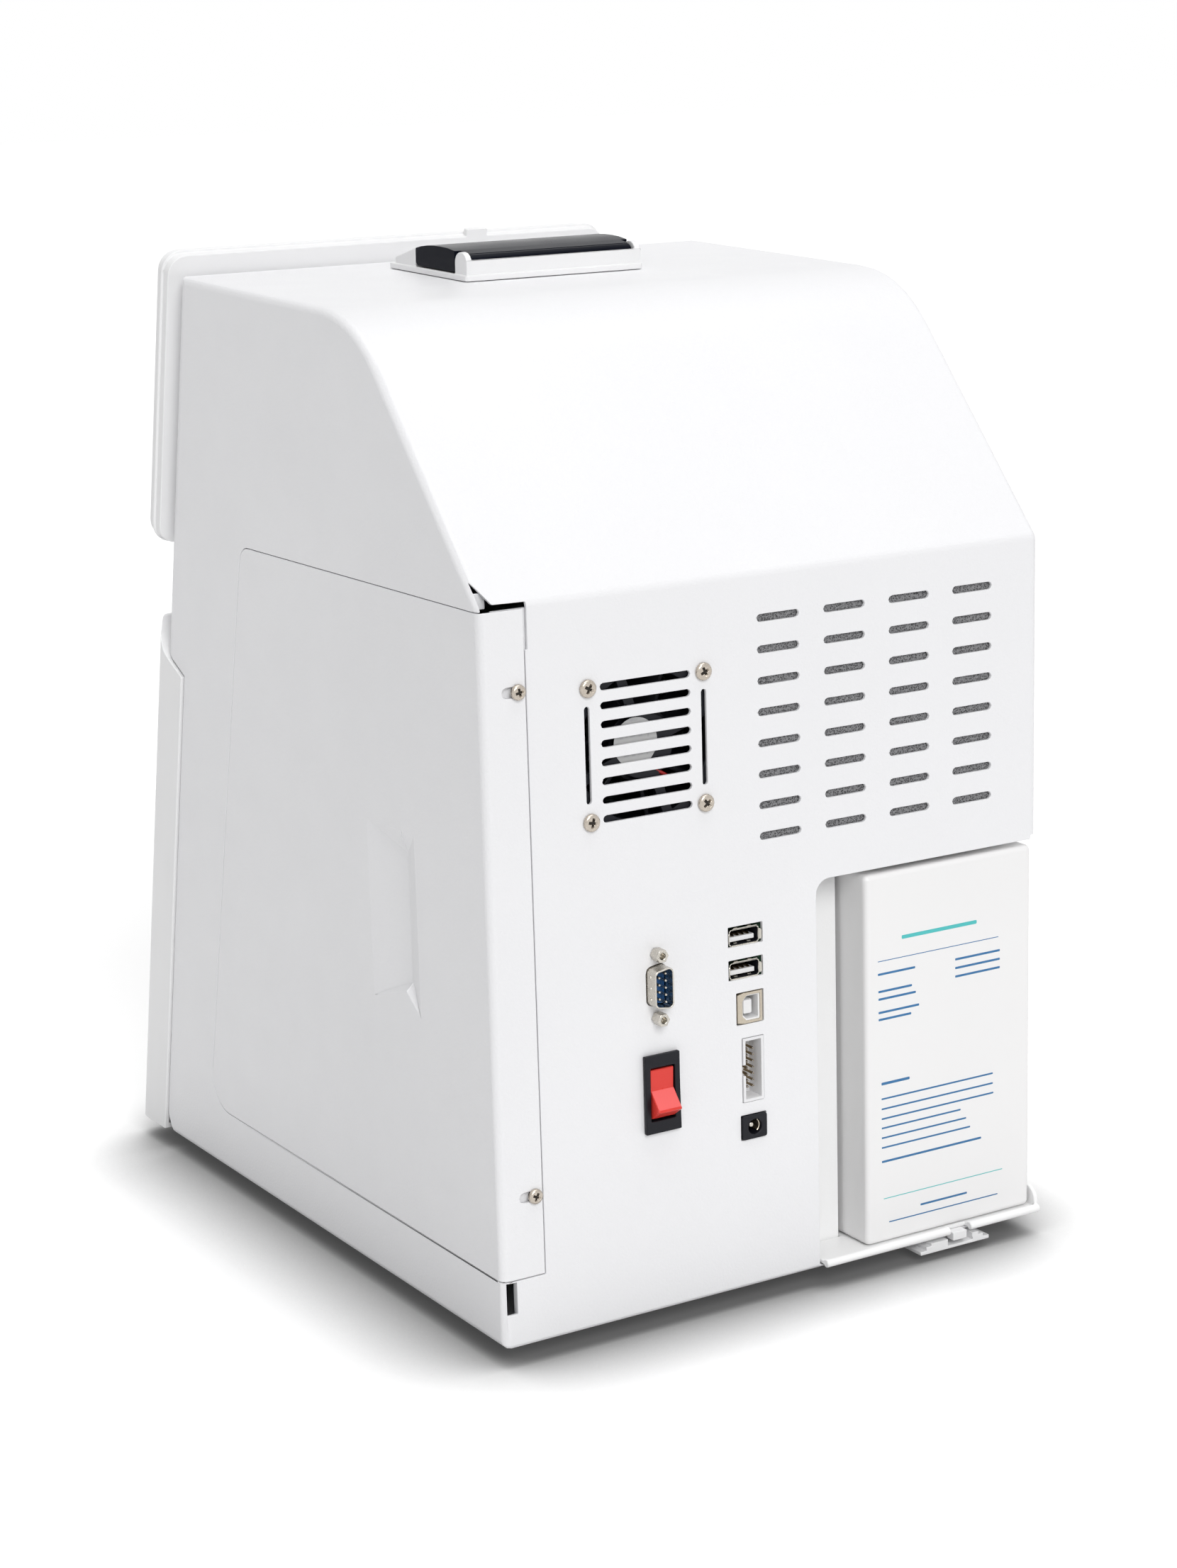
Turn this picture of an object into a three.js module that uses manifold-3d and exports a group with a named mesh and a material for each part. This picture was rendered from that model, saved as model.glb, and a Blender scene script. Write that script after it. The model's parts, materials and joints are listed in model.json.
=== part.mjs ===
// A bench-top blood gas analyzer: a painted sheet cabinet that leans back at the front, with a touch
// display, a swinging front door over the fluidics, a service door on its right wall, a receipt printer
// on top, a fan, vents and sockets at the rear, and a drawer with the reagent pack in the rear corner.
//
// Lengths are in millimetres. Inside the cabinet's own frame y is 0 on the rear face and falls towards
// the user, z is 0 on the bottom edge, and x is 0 in the middle, with +x on the service door's side.
// The whole group is lifted onto its feet, with its origin below the middle of the object.

import * as THREE from 'three';
import { mergeVertices } from 'three/addons/utils/BufferGeometryUtils.js';
import { ConvexGeometry } from 'three/addons/geometries/ConvexGeometry.js';
import Module from 'manifold-3d';

const wasm = await Module();
wasm.setup();

// Driving dimensions of the cabinet. Runs go from the rear face to the front, levels from its bottom.
const cabinet = {
  width: 252, sheet: 1.5, edgeRadius: 3.5, cornerRadius: 12, hemRadius: 2, rearLap: 3,
  bendHeight: 281.6, bendRadius: 5, slopeRun: 87.6, slopeRise: 97.6, shoulderRadius: 60,
  crownRise: 5.4, browRadius: 6, splitDrop: 17.2, splitBehind: 45,
  seamRun: 257, seamLevel: 216.9, frontAhead: 20, frontAbove: 19.1, leanAngle: 12.6,
  toeRun: 7, toeRise: 9, toeRadius: 7, kneeAhead: 20.5, kneeAbove: 10.1, kneeRadius: 14,
  tipAhead: 20.9, tipAbove: 23.1,
};
const foot = { height: 8, radius: 11, baseRadius: 9.5, inset: 30, hole: 2.2, holeDepth: 4 };
const fit = { gap: 0.3, running: 0.5, over: 2, hair: 0.05 };
const arcSteps = 6;
const thinShare = 0.1;

const half = cabinet.width / 2;
const rim = half - cabinet.edgeRadius;
const inner = half - cabinet.sheet;
const leanRadians = THREE.MathUtils.degToRad(cabinet.leanAngle);
const lean = Math.tan(leanRadians);
const cosLean = Math.cos(leanRadians);
const topHeight = cabinet.bendHeight + cabinet.slopeRise;
const browHeight = topHeight + cabinet.crownRise;
const splitLevel = topHeight - cabinet.splitDrop;
const splitRun = cabinet.seamRun - cabinet.splitBehind;
const frontRun = cabinet.seamRun + cabinet.frontAhead;
const frontLevel = cabinet.seamLevel + cabinet.frontAbove;
const frontY = (z) => -frontRun + (z - frontLevel) * lean;
const seamY = (z) => -cabinet.seamRun + (z - cabinet.seamLevel) * lean;
const knee = { run: cabinet.seamRun + cabinet.kneeAhead, level: cabinet.seamLevel + cabinet.kneeAbove };
const tip = { run: cabinet.seamRun + cabinet.tipAhead, level: cabinet.seamLevel + cabinet.tipAbove };
const crownTilt = Math.atan2(cabinet.crownRise, -frontY(browHeight) - cabinet.slopeRun);
const crownAt = (run) => topHeight + (run - cabinet.slopeRun) * Math.tan(crownTilt);

// Driving dimensions of the front door, a moulded shell that stands proud of the cabinet.
const frontDoor = {
  proud: 4.5, sideProud: 1.2, wall: 2.4, bottom: 1, cornerRadius: 8, toeRadius: 3, seamGap: 0.8,
  pivot: 4, bore: 1.8, pin: 1.5, lowerArm: 16, upperArmDrop: 26.9, armThick: 2.4, armReach: 7, armWidth: 12,
  armRoom: 1.6, armInset: 1.35, mouthReach: 9.6, reliefDrop: 4, reliefReach: 7,
};

// Driving dimensions of the service door in the right wall, with its pressed grip and rear flange.
const serviceDoor = {
  bottom: 27.2, topDrop: 2, lowBehind: 43.7, highBehind: 73, lowRadius: 14, highRadius: 8,
  flange: 18.4, gap: 0.3, flangeGap: 0.45, wideGap: 1.4, wideTall: 15, notchRise: 0.3, notchStep: 0.3,
  notchPeak: 8, notchInner: 1.4, notchStart: 6.2, notchRun: 22,
  gripFront: 94, gripRear: 55, gripFloor: 60, gripTopDrop: 91.6, gripTall: 73, gripDepth: 4.4, gripFloorTop: 8,
  gripFloorBottom: 14.5, gripToe: 3, screwInset: 15, lowScrew: 31.5, highScrewDrop: 29.8,
  slotLength: 9.5, slotHeight: 4, slotShift: 1.7, stripWidth: 18, stripThick: 1.5, stripLap: 6,
  cornerSlotInset: 1.8, cornerSlotWidth: 4.4, cornerSlotLow: 13.7, cornerSlotHigh: 24.6,
};
const doorTop = cabinet.bendHeight - serviceDoor.topDrop;
const doorScrewX = half - serviceDoor.screwInset;
const doorScrewLevels = [serviceDoor.bottom + serviceDoor.lowScrew, doorTop - serviceDoor.highScrewDrop];

// Driving dimensions of the fan, measured from the right wall and down from the rear bend, and its slots.
const fan = {
  fromWall: 69, drop: 59.3, size: 60, holeInset: 5, depth: 15, cornerRadius: 5, rim: 1.75, hub: 12.5,
  hubThick: 2.4, strutWidth: 4, struts: 4, strutTurn: 20, blades: 7, bladeThick: 1.4, bladeTwist: 34,
  rotorHub: 14, tip: 0.8, spindle: 1.5, slots: 8, slotInset: 10.5, slotHeight: 2.8, spanInset: 5.25,
  sideSlotInset: 4.7, sideSlotTrim: 11.75, sideSlotWidth: 2.2,
};
const fanX = half - fan.fromWall;
const fanZ = cabinet.bendHeight - fan.drop;
const fanPitch = fan.size - fan.holeInset * 2;
const fanBore = fan.size / 2 - fan.rim;

// Driving dimensions of the vents, whose columns fill the panel from the fan to the left wall.
const vents = { fromFan: 59, margin: 30, drop: 0.1, pitchX: 30.4, pitchZ: 11.97, rows: 8, long: 19.1, height: 3 };
const ventsRight = fanX - vents.fromFan;
const ventColumns = Math.floor((ventsRight + half - vents.margin) / vents.pitchX) + 1;
const ventsZ = fanZ - vents.drop;
const filter = { margin: 6, thick: 4 };

const screw = { head: 3.9, headHeight: 2.2, shank: 1.9, cross: 2.5, crossWidth: 0.8, crossDepth: 1.1 };
const doorScrew = { head: 3.3, headHeight: 2, shank: 1.4, reach: 5, cross: 2.1, crossWidth: 0.7, crossDepth: 1 };
const headShares = { brim: 0.45, shoulder: 0.82, shoulderRise: 0.85, flat: 0.45 };

// Driving dimensions of the sockets and the switch. They are set out from the serial socket below the fan.
const serial = {
  fromWall: 70.5, belowFan: 92, height: 16.9, width: 8.3, slant: 1.4, radius: 2.2, wall: 0.6, reach: 6,
  flangeHeight: 31, flangeWidth: 12.5, flangeThick: 0.9, floorDepth: 0.5, pin: 0.5, pinReach: 4.6, pitch: 2.77,
  rowGap: 2.84, jackSpan: 24.99, hex: 2.7, hexReach: 5, jackShank: 1.4, jackBore: 1.3, boreStart: 1.7,
};
const serialX = half - serial.fromWall;
const serialZ = fanZ - serial.belowFan;
const rocker = {
  fromWall: 71.2, drop: 42.1, bezelWidth: 15.4, bezelHeight: 31, bezelThick: 1.9, bodyWidth: 12.8,
  bodyHeight: 27.6, bodyDepth: 19, width: 10.2, height: 18.6, faceAngle: 12.5, pivotDepth: 3, pin: 1,
  pinLength: 0.9, wellDepth: 12, play: 0.35, flankShare: 0.8,
};
const rockerX = half - rocker.fromWall;
const rockerZ = serialZ - rocker.drop;
const usbA = {
  fromWall: 111, rise: 12.7, pitch: 13.2, width: 14.5, height: 7, cutWidth: 15.9, cutHeight: 8, wall: 0.5, depth: 9,
  tongueWidth: 11.1, tongueThick: 1.8, tongueRise: 1,
};
const usbAX = half - usbA.fromWall;
const usbALevels = [serialZ + usbA.rise, serialZ + usbA.rise - usbA.pitch];
const usbB = {
  fromWall: 112.6, drop: 16.3, width: 12, height: 12.4, wall: 0.6, bevel: 2, core: 5.4, coreHeight: 3.4, depth: 9,
};
const usbBX = half - usbB.fromWall;
const usbBZ = serialZ - usbB.drop;
const header = {
  fromWall: 113.6, drop: 41.3, width: 9.4, height: 25.6, wall: 1.1, pins: 7, pitch: 2.54, pin: 0.32, depth: 8.6,
  keyHeight: 4.4, pinReach: 6.4,
};
const headerX = half - header.fromWall;
const headerZ = serialZ - header.drop;
const powerJack = {
  fromWall: 113.4, drop: 64.4, width: 11.2, height: 9.6, bore: 3.1, pin: 1, depth: 10, cornerRadius: 0.8,
};
const jackX = half - powerJack.fromWall;
const jackZ = serialZ - powerJack.drop;
const board = {
  reachLeft: 126, reachRight: 56, stepFrom: 80, drop: 76.3, rise: 24.7, stepDrop: 18.3, fromWall: 2, depth: 13.9,
  thick: 1.6, spacer: 2.6, spacerInset: 5,
};

// Driving dimensions of the reagent bay, which takes what the sockets leave of the width.
const bay = {
  mouthFromWall: 144, belowFan: 63.3, cornerRadius: 6, wallInset: 19.5, roofRise: 1.6, depth: 207, sheet: 1.2,
  flangeDepth: 16.8, flangeLap: 9, curbRadius: 5,
};
const mouthX = half - bay.mouthFromWall;
const mouthTop = fanZ - bay.belowFan;
const bayWallX = mouthX - bay.wallInset;
const bayRoof = mouthTop + bay.roofRise;
const flangeX = mouthX + bay.flangeLap;
const catchBlock = {
  shift: 9.8, width: 34.6, low: 4.4, plate: 1.5, plateTwo: 3, stepOne: 3, stepTwo: 5.4, front: 16, rear: 4,
  channelRight: 3.5, channelLeft: 8.8, topGap: 0.3, cheek: 1.2,
};
const catchX = (mouthX - half) / 2 - catchBlock.shift;
const drawer = {
  floor: 1.8, thick: 1.8, bead: 1.7, beadOut: 3, sideWall: 1.8, sideRise: 10, behindBack: 3, wallGap: 1.9,
  outerGap: 0.8, notchRight: 2.3, notchLeft: 7.9, notchDepth: 0.2, frontRise: 14, cornerRadius: 6,
};
const drawerOuter = half - drawer.outerGap;
const drawerInner = -bayWallX + drawer.wallGap;
const drawerFront = bay.depth - drawer.behindBack;
const pack = { wallGap: 1, sideGap: 0.8, frontGap: 1.2, rear: 0.8, topDrop: 2, edgeRadius: 2.4, seatGap: 0.3 };
const packFace = { left: drawerInner + pack.wallGap, right: drawerOuter - drawer.sideWall - pack.sideGap };
const tongue = { right: 1.3, left: 5.6, low: 1.3, rise: 3.4, behind: 0.3, rear: 4.6 };

// Driving dimensions of the display, which stands a little above the top and right of the middle.
const display = {
  leftInset: 47, rightOut: 2.3, lowAbove: 54.7, above: 7.8, thick: 10.2, cornerRadius: 8, frontShare: 0.45,
  border: 11, chin: 16, lip: 0.8, glassThick: 1.6, wall: 2, tabStart: 59, tabWidth: 10, tabRise: 3, tabThick: 3,
  bead: 1, beadDepth: 1.4,
};
const displayLeft = -half + display.leftInset;
const displayRight = half + display.rightOut;
const displayLow = cabinet.seamLevel + display.lowAbove;
const displayHigh = browHeight + display.above;

// Driving dimensions of the printer that drops into the top. Heights are above its flange.
const printer = {
  width: 83, depth: 65, frontAhead: 4.5, flangeThick: 2.3, flangeRadius: 1.6, rimInset: 0.8, wallThick: 1.4,
  wallRise: 5.9, wedgeMargin: 4.1, wedgeRun: 17, wedgeLow: 2.5, wedgeRise: 7.4, wedgeRadius: 1.6,
  wellDepth: 40, wellWall: 1.4, wellInset: 5.5, lidRise: 9.7, lidThick: 1.8, lidFoot: 2, hingeInset: 5.2,
  hingeRise: 4.3, barrel: 3.5, lug: 4.5, lugWidth: 2.6, pin: 1.1, pinReach: 1.3, platen: 4, platenInset: 6,
  rollRadius: 15.5, rollWidth: 57, rollCore: 6,
};
const lidShares = [
  [0, 0.78], [0.12, 0.88], [0.25, 0.95], [0.4, 0.99], [0.55, 1], [0.7, 0.985], [0.85, 0.92], [1, 0.82],
];

// Driving dimensions of the sampler beside the display.
const sampler = {
  inset: 24.5, drop: 3.6, height: 62, width: 34, depth: 13, radius: 5, slotWidth: 12, slotLow: 6, slotHigh: 52,
  slotFloor: 1.6, pivotRise: 46, pivotDepth: 6.5, pin: 1.6, pinReach: 2, leverWidth: 10.4, leverLength: 30,
  leverThick: 5, needle: 0.9, needleReach: 9, gripReach: 4, gripRise: 10,
};

// Driving dimensions of what stands behind the front door.
const pump = {
  inset: 74, rise: 78, radius: 27, depth: 17, wall: 3, rollers: 4, rollerRadius: 4.4, rollerStep: 1.5, arm: 12.5,
  thick: 8, spindle: 3, motor: 21, motorLength: 34, base: 3,
};
const pumpX = -half + pump.inset;
const sensors = {
  fromPump: 54, inset: 30, low: 98, high: 150, depth: 17, pitch: 15.6, bore: 5.2, boreDepth: 10, radius: 3,
  capRadius: 4.7, capReach: 3.2, screw: 2,
};
const sensorsLeft = pumpX + sensors.fromPump;
const sensorsRight = half - sensors.inset;
const sensorCount = Math.floor((sensorsRight - sensorsLeft) / sensors.pitch);
const valve = { low: 142, size: 20, depth: 16, plunger: 3.4, plungerReach: 3 };

// Driving dimensions of the parts that the closed cabinet holds.
const powerSupply = { fromBay: 15.5, inset: 34, behindSeam: 21, length: 108, height: 38, edge: 2 };
const mainBoard = {
  inset: 10, pastBay: 17.5, behindBack: 17, length: 130, aboveRoof: 7.4, thick: 1.6, spacer: 3, spacerInset: 6,
  chip: 14, chipHeight: 2.4, chips: 3,
};

// Finishes of the pieces, as colour, roughness and metalness.
const finish = (color, roughness, metalness = 0) => new THREE.MeshStandardMaterial({ color, roughness, metalness });
const finishes = {
  paint: [0xeeeef0, 0.55], moulding: [0xf4f4f4, 0.45], rubber: [0x202022, 0.85], steel: [0xc9c6bd, 0.3, 0.9],
  smoke: [0x0b0c12, 0.12], black: [0x17181b, 0.5], red: [0xe6463c, 0.4], blue: [0x0a4f8c, 0.45],
  foam: [0x77787a, 0.95], green: [0x1f5d3a, 0.5], paper: [0xf7f5ef, 0.9], glass: [0x101318, 0.08],
  beige: [0xe3dccb, 0.6], grey: [0xb4b4b6, 0.6], carton: [0xefefef, 0.65], clear: [0xdfe6ea, 0.2],
};

// Outlines. A corner is [a, b, radius], and a rounded corner becomes an arc of short steps.
function rounded(corners, steps = arcSteps) {
  const points = [];
  corners.forEach(([a, b, radius = 0], i) => {
    const here = new THREE.Vector2(a, b);
    if (radius <= 0) {
      points.push(here);
      return;
    }
    const [lastA, lastB] = corners[(i + corners.length - 1) % corners.length];
    const [nextA, nextB] = corners[(i + 1) % corners.length];
    const back = new THREE.Vector2(lastA, lastB).sub(here).normalize();
    const ahead = new THREE.Vector2(nextA, nextB).sub(here).normalize();
    const spread = Math.acos(THREE.MathUtils.clamp(back.dot(ahead), -1, 1)) / 2;
    const centre = back.clone().add(ahead).setLength(radius / Math.sin(spread)).add(here);
    const reach = radius / Math.tan(spread);
    const from = here.clone().addScaledVector(back, reach).sub(centre);
    const to = here.clone().addScaledVector(ahead, reach).sub(centre);
    const turn = Math.atan2(from.cross(to), from.dot(to));
    for (let k = 0; k <= steps; k += 1) {
      points.push(from.clone().rotateAround(new THREE.Vector2(), (turn * k) / steps).add(centre));
    }
  });
  return points;
}

// The same outline moved inwards by a distance, or outwards by a negative one, with its arcs concentric.
function inset(corners, distance) {
  const turn = Math.sign(THREE.ShapeUtils.area(corners.map(([a, b]) => new THREE.Vector2(a, b))));
  return corners.map(([a, b, radius = 0], i) => {
    const [lastA, lastB] = corners[(i + corners.length - 1) % corners.length];
    const [nextA, nextB] = corners[(i + 1) % corners.length];
    const before = new THREE.Vector2(a - lastA, b - lastB).normalize();
    const after = new THREE.Vector2(nextA - a, nextB - b).normalize();
    const first = new THREE.Vector2(-before.y, before.x).multiplyScalar(turn);
    const second = new THREE.Vector2(-after.y, after.x).multiplyScalar(turn);
    const move = first.clone().add(second).multiplyScalar(distance / (1 + first.dot(second)));
    const swell = before.cross(after) * turn > 0 ? -distance : distance;
    const next = radius > 0 ? Math.max(radius + swell, radius * thinShare) : 0;
    return [a + move.x, b + move.y, next];
  });
}

const rectangle = (a0, a1, b0, b1, radius = 0) => [
  [a0, b0, radius], [a1, b0, radius], [a1, b1, radius], [a0, b1, radius],
];
const slotOutline = (a, b, width, height) => rounded(
  rectangle(a - width / 2, a + width / 2, b - height / 2, b + height / 2, Math.min(width, height) / 2 - fit.hair),
  2,
);

function ring(a, b, radius, sides = 24, start = 0) {
  const points = [];
  for (let i = 0; i < sides; i += 1) {
    const angle = start + (i * 2 * Math.PI) / sides;
    points.push(new THREE.Vector2(a + radius * Math.cos(angle), b + radius * Math.sin(angle)));
  }
  return points;
}

// Solids. Each builder gives a closed body that can be joined and cut.
function solidOf(geometry) {
  geometry.deleteAttribute('normal');
  geometry.deleteAttribute('uv');
  const merged = mergeVertices(geometry);
  const index = merged.index.array;
  const triangles = [];
  for (let i = 0; i < index.length; i += 3) {
    const [a, b, c] = [index[i], index[i + 1], index[i + 2]];
    if (a !== b && b !== c && c !== a) triangles.push(a, b, c);
  }
  return new wasm.Manifold(new wasm.Mesh({
    numProp: 3,
    vertProperties: Float32Array.from(merged.attributes.position.array),
    triVerts: Uint32Array.from(triangles),
  }));
}

function extruded(points, depth, holes, matrix) {
  const shape = new THREE.Shape(points);
  holes.forEach((hole) => shape.holes.push(new THREE.Path(hole)));
  const geometry = new THREE.ExtrudeGeometry(shape, { depth, bevelEnabled: false, steps: 1 });
  return solidOf(geometry.applyMatrix4(matrix));
}

const [unitX, unitY, unitZ] = [[1, 0, 0], [0, 1, 0], [0, 0, 1]].map((axis) => new THREE.Vector3(...axis));
const axes = {
  x: new THREE.Matrix4().makeBasis(unitY, unitZ, unitX),
  y: new THREE.Matrix4().makeBasis(unitX, unitZ, unitY.clone().negate()),
};
const prismX = (points, from, to, holes = []) => extruded(
  points, to - from, holes, new THREE.Matrix4().makeTranslation(from, 0, 0).multiply(axes.x),
);
const prismY = (points, from, to, holes = []) => extruded(
  points, to - from, holes, new THREE.Matrix4().makeTranslation(0, to, 0).multiply(axes.y),
);
const prismZ = (points, from, to, holes = []) => extruded(
  points, to - from, holes, new THREE.Matrix4().makeTranslation(0, 0, from),
);
const block = (x0, x1, y0, y1, z0, z1) => prismZ(rounded(rectangle(x0, x1, y0, y1)), z0, z1);

// A prism whose plan outline, drawn at z = 0, leans back with the cabinet's front.
function leaningPrism(points, from, to) {
  const shear = new THREE.Matrix4().set(1, 0, 0, 0, 0, 1, lean, 0, 0, 0, 1, 0, 0, 0, 0, 1);
  return extruded(points, to - from, [], shear.multiply(new THREE.Matrix4().makeTranslation(0, 0, from)));
}

// A body between outlines of equal length that stand at rising x.
function loftX(sections) {
  const count = sections[0].points.length;
  const positions = [];
  sections.forEach(({ x, points }) => points.forEach((p) => positions.push(x, p.x, p.y)));
  const index = [];
  for (let s = 0; s + 1 < sections.length; s += 1) {
    for (let i = 0; i < count; i += 1) {
      const next = (i + 1) % count;
      const [a, b, c, d] = [s * count + i, s * count + next, (s + 1) * count + i, (s + 1) * count + next];
      index.push(a, b, c, b, d, c);
    }
  }
  const last = (sections.length - 1) * count;
  THREE.ShapeUtils.triangulateShape(sections[0].points, []).forEach(([a, b, c]) => index.push(a, c, b));
  THREE.ShapeUtils.triangulateShape(sections[sections.length - 1].points, [])
    .forEach(([a, b, c]) => index.push(last + a, last + b, last + c));
  const geometry = new THREE.BufferGeometry();
  geometry.setAttribute('position', new THREE.Float32BufferAttribute(positions, 3));
  geometry.setIndex(index);
  return solidOf(geometry);
}

// A turned body. The profile is [radius, height] from axis to axis, and the axis points along a vector.
function turned(profile, place, axis, sides = 20) {
  const geometry = new THREE.LatheGeometry(profile.map(([r, h]) => new THREE.Vector2(r, h)), sides);
  const turn = new THREE.Quaternion().setFromUnitVectors(unitY, axis);
  geometry.applyQuaternion(turn).translate(place.x, place.y, place.z);
  return solidOf(geometry);
}

const joined = (solids) => solids.reduce((whole, next) => whole.add(next));
const without = (solid, cutters) => cutters.reduce((left, cutter) => left.subtract(cutter), solid);

const analyzer = new THREE.Group();
function place(name, solid, look, parent = analyzer) {
  const { vertProperties, triVerts } = solid.getMesh();
  const geometry = new THREE.BufferGeometry();
  geometry.setAttribute('position', new THREE.Float32BufferAttribute(vertProperties, 3));
  geometry.setIndex(new THREE.Uint32BufferAttribute(triVerts, 1));
  geometry.computeVertexNormals();
  const mesh = new THREE.Mesh(geometry, finish(...finishes[look]));
  mesh.name = name;
  parent.add(mesh);
  return mesh;
}

// The cabinet is one hollow body with soft side edges, cut into its welded sheets.
const bodyCorners = [
  [0, 0, cabinet.hemRadius],
  [0, cabinet.bendHeight, cabinet.bendRadius],
  [-cabinet.slopeRun, topHeight, cabinet.shoulderRadius],
  [frontY(browHeight), browHeight, cabinet.browRadius],
  [frontY(0), 0, cabinet.hemRadius],
];
const depthBehind = cabinet.sheet + fit.over;
const heightAbove = displayHigh + fit.over;
const reachAhead = -frontY(0) + frontDoor.proud + fit.over;

// The pocket in front of the seam, where the front door stands.
const pocketCorners = [
  [seamY(0) + cabinet.toeRun, -fit.over],
  [seamY(cabinet.toeRise), cabinet.toeRise, cabinet.toeRadius],
  [seamY(cabinet.seamLevel), cabinet.seamLevel],
  [-knee.run, knee.level, cabinet.kneeRadius],
  [-tip.run, tip.level],
  [-reachAhead, tip.level],
  [-reachAhead, -fit.over],
];

function softBody(corners, radius, halfWidth, arcs = arcSteps) {
  const sections = [];
  const steps = 3;
  for (let side = -1; side <= 1; side += 2) {
    for (let k = 0; k <= steps; k += 1) {
      const turn = ((side < 0 ? steps - k : k) * Math.PI) / 2 / steps;
      const points = rounded(inset(corners, radius * (1 - Math.cos(turn))), arcs);
      sections.push({ x: side * (halfWidth - radius + radius * Math.sin(turn)), points });
    }
  }
  return loftX(sections);
}

function leaningPlan(halfWidth, frontAtFloor, radius) {
  const plan = [
    [halfWidth, depthBehind], [-halfWidth, depthBehind],
    [-halfWidth, frontAtFloor, radius], [halfWidth, frontAtFloor, radius],
  ];
  const far = (heightAbove + fit.over) * lean + depthBehind;
  plan[0][1] = far;
  plan[1][1] = far;
  return leaningPrism(rounded(plan), -fit.over, heightAbove);
}

const cavity = prismX(rounded(inset(bodyCorners, cabinet.sheet), arcSteps + 2), -inner, inner)
  .intersect(leaningPlan(inner, frontY(0) + cabinet.sheet - fit.hair, cabinet.cornerRadius - cabinet.sheet))
  .subtract(prismX(rounded(inset(pocketCorners, -cabinet.sheet)), -half, half));
const shell = softBody(bodyCorners, cabinet.edgeRadius, half)
  .intersect(leaningPlan(half, frontY(0) - fit.hair, cabinet.cornerRadius))
  .subtract(prismX(rounded(pocketCorners), -half - fit.over, half + fit.over))
  .subtract(cavity);

const everywhere = (x0, x1, z0, z1) => block(x0, x1, -reachAhead, depthBehind, z0, z1);

// The service door's outline in the right wall, and its way round the rear corner.
const doorFrontLow = seamY(serviceDoor.bottom) + serviceDoor.lowBehind;
const doorCorners = (rear) => [
  [rear, serviceDoor.bottom],
  [rear, doorTop],
  [frontY(doorTop) + serviceDoor.highBehind, doorTop, serviceDoor.highRadius],
  [doorFrontLow, serviceDoor.bottom, serviceDoor.lowRadius],
];
const flangeEdge = half - serviceDoor.flange;
const doorOpening = prismX(
  rounded(inset(doorCorners(depthBehind + serviceDoor.gap), -serviceDoor.gap)),
  rim - cabinet.sheet, half + fit.over,
).add(block(
  flangeEdge - serviceDoor.flangeGap, half + fit.over, -cabinet.sheet - fit.over, depthBehind,
  serviceDoor.bottom - serviceDoor.flangeGap, doorTop,
));
const cornerNotch = prismY([
  [flangeEdge - serviceDoor.wideGap, doorTop - serviceDoor.wideTall],
  [flangeEdge - serviceDoor.wideGap, cabinet.bendHeight + serviceDoor.notchRise],
  [half - serviceDoor.notchStart, cabinet.bendHeight + serviceDoor.notchRise + serviceDoor.notchStep],
  [half - serviceDoor.notchInner, cabinet.bendHeight + serviceDoor.notchPeak],
  [half - serviceDoor.notchInner, doorTop - serviceDoor.wideTall],
].map(([a, b]) => new THREE.Vector2(a, b)), -serviceDoor.notchRun, depthBehind);
const cornerSlotRight = half - serviceDoor.cornerSlotInset;
const cornerSlot = block(
  cornerSlotRight - serviceDoor.cornerSlotWidth, cornerSlotRight, -cabinet.rearLap, depthBehind,
  serviceDoor.cornerSlotLow, serviceDoor.cornerSlotHigh + fit.over,
);
const serviceCuts = [doorOpening, cornerNotch, cornerSlot];

// The bay takes the rear left corner out of the rear panel and the left wall.
const bayMouth = prismY(rounded([
  [mouthX, -fit.over], [mouthX, mouthTop, bay.cornerRadius],
  [-half - fit.over, mouthTop], [-half - fit.over, -fit.over],
].reverse()), -cabinet.sheet - fit.over, depthBehind);
const baySide = prismX(rounded([
  [depthBehind, cabinet.sheet], [depthBehind, bayRoof], [-bay.depth, bayRoof, bay.curbRadius],
  [-bay.depth, cabinet.sheet],
]), -half - fit.over, -rim + cabinet.sheet);

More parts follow.
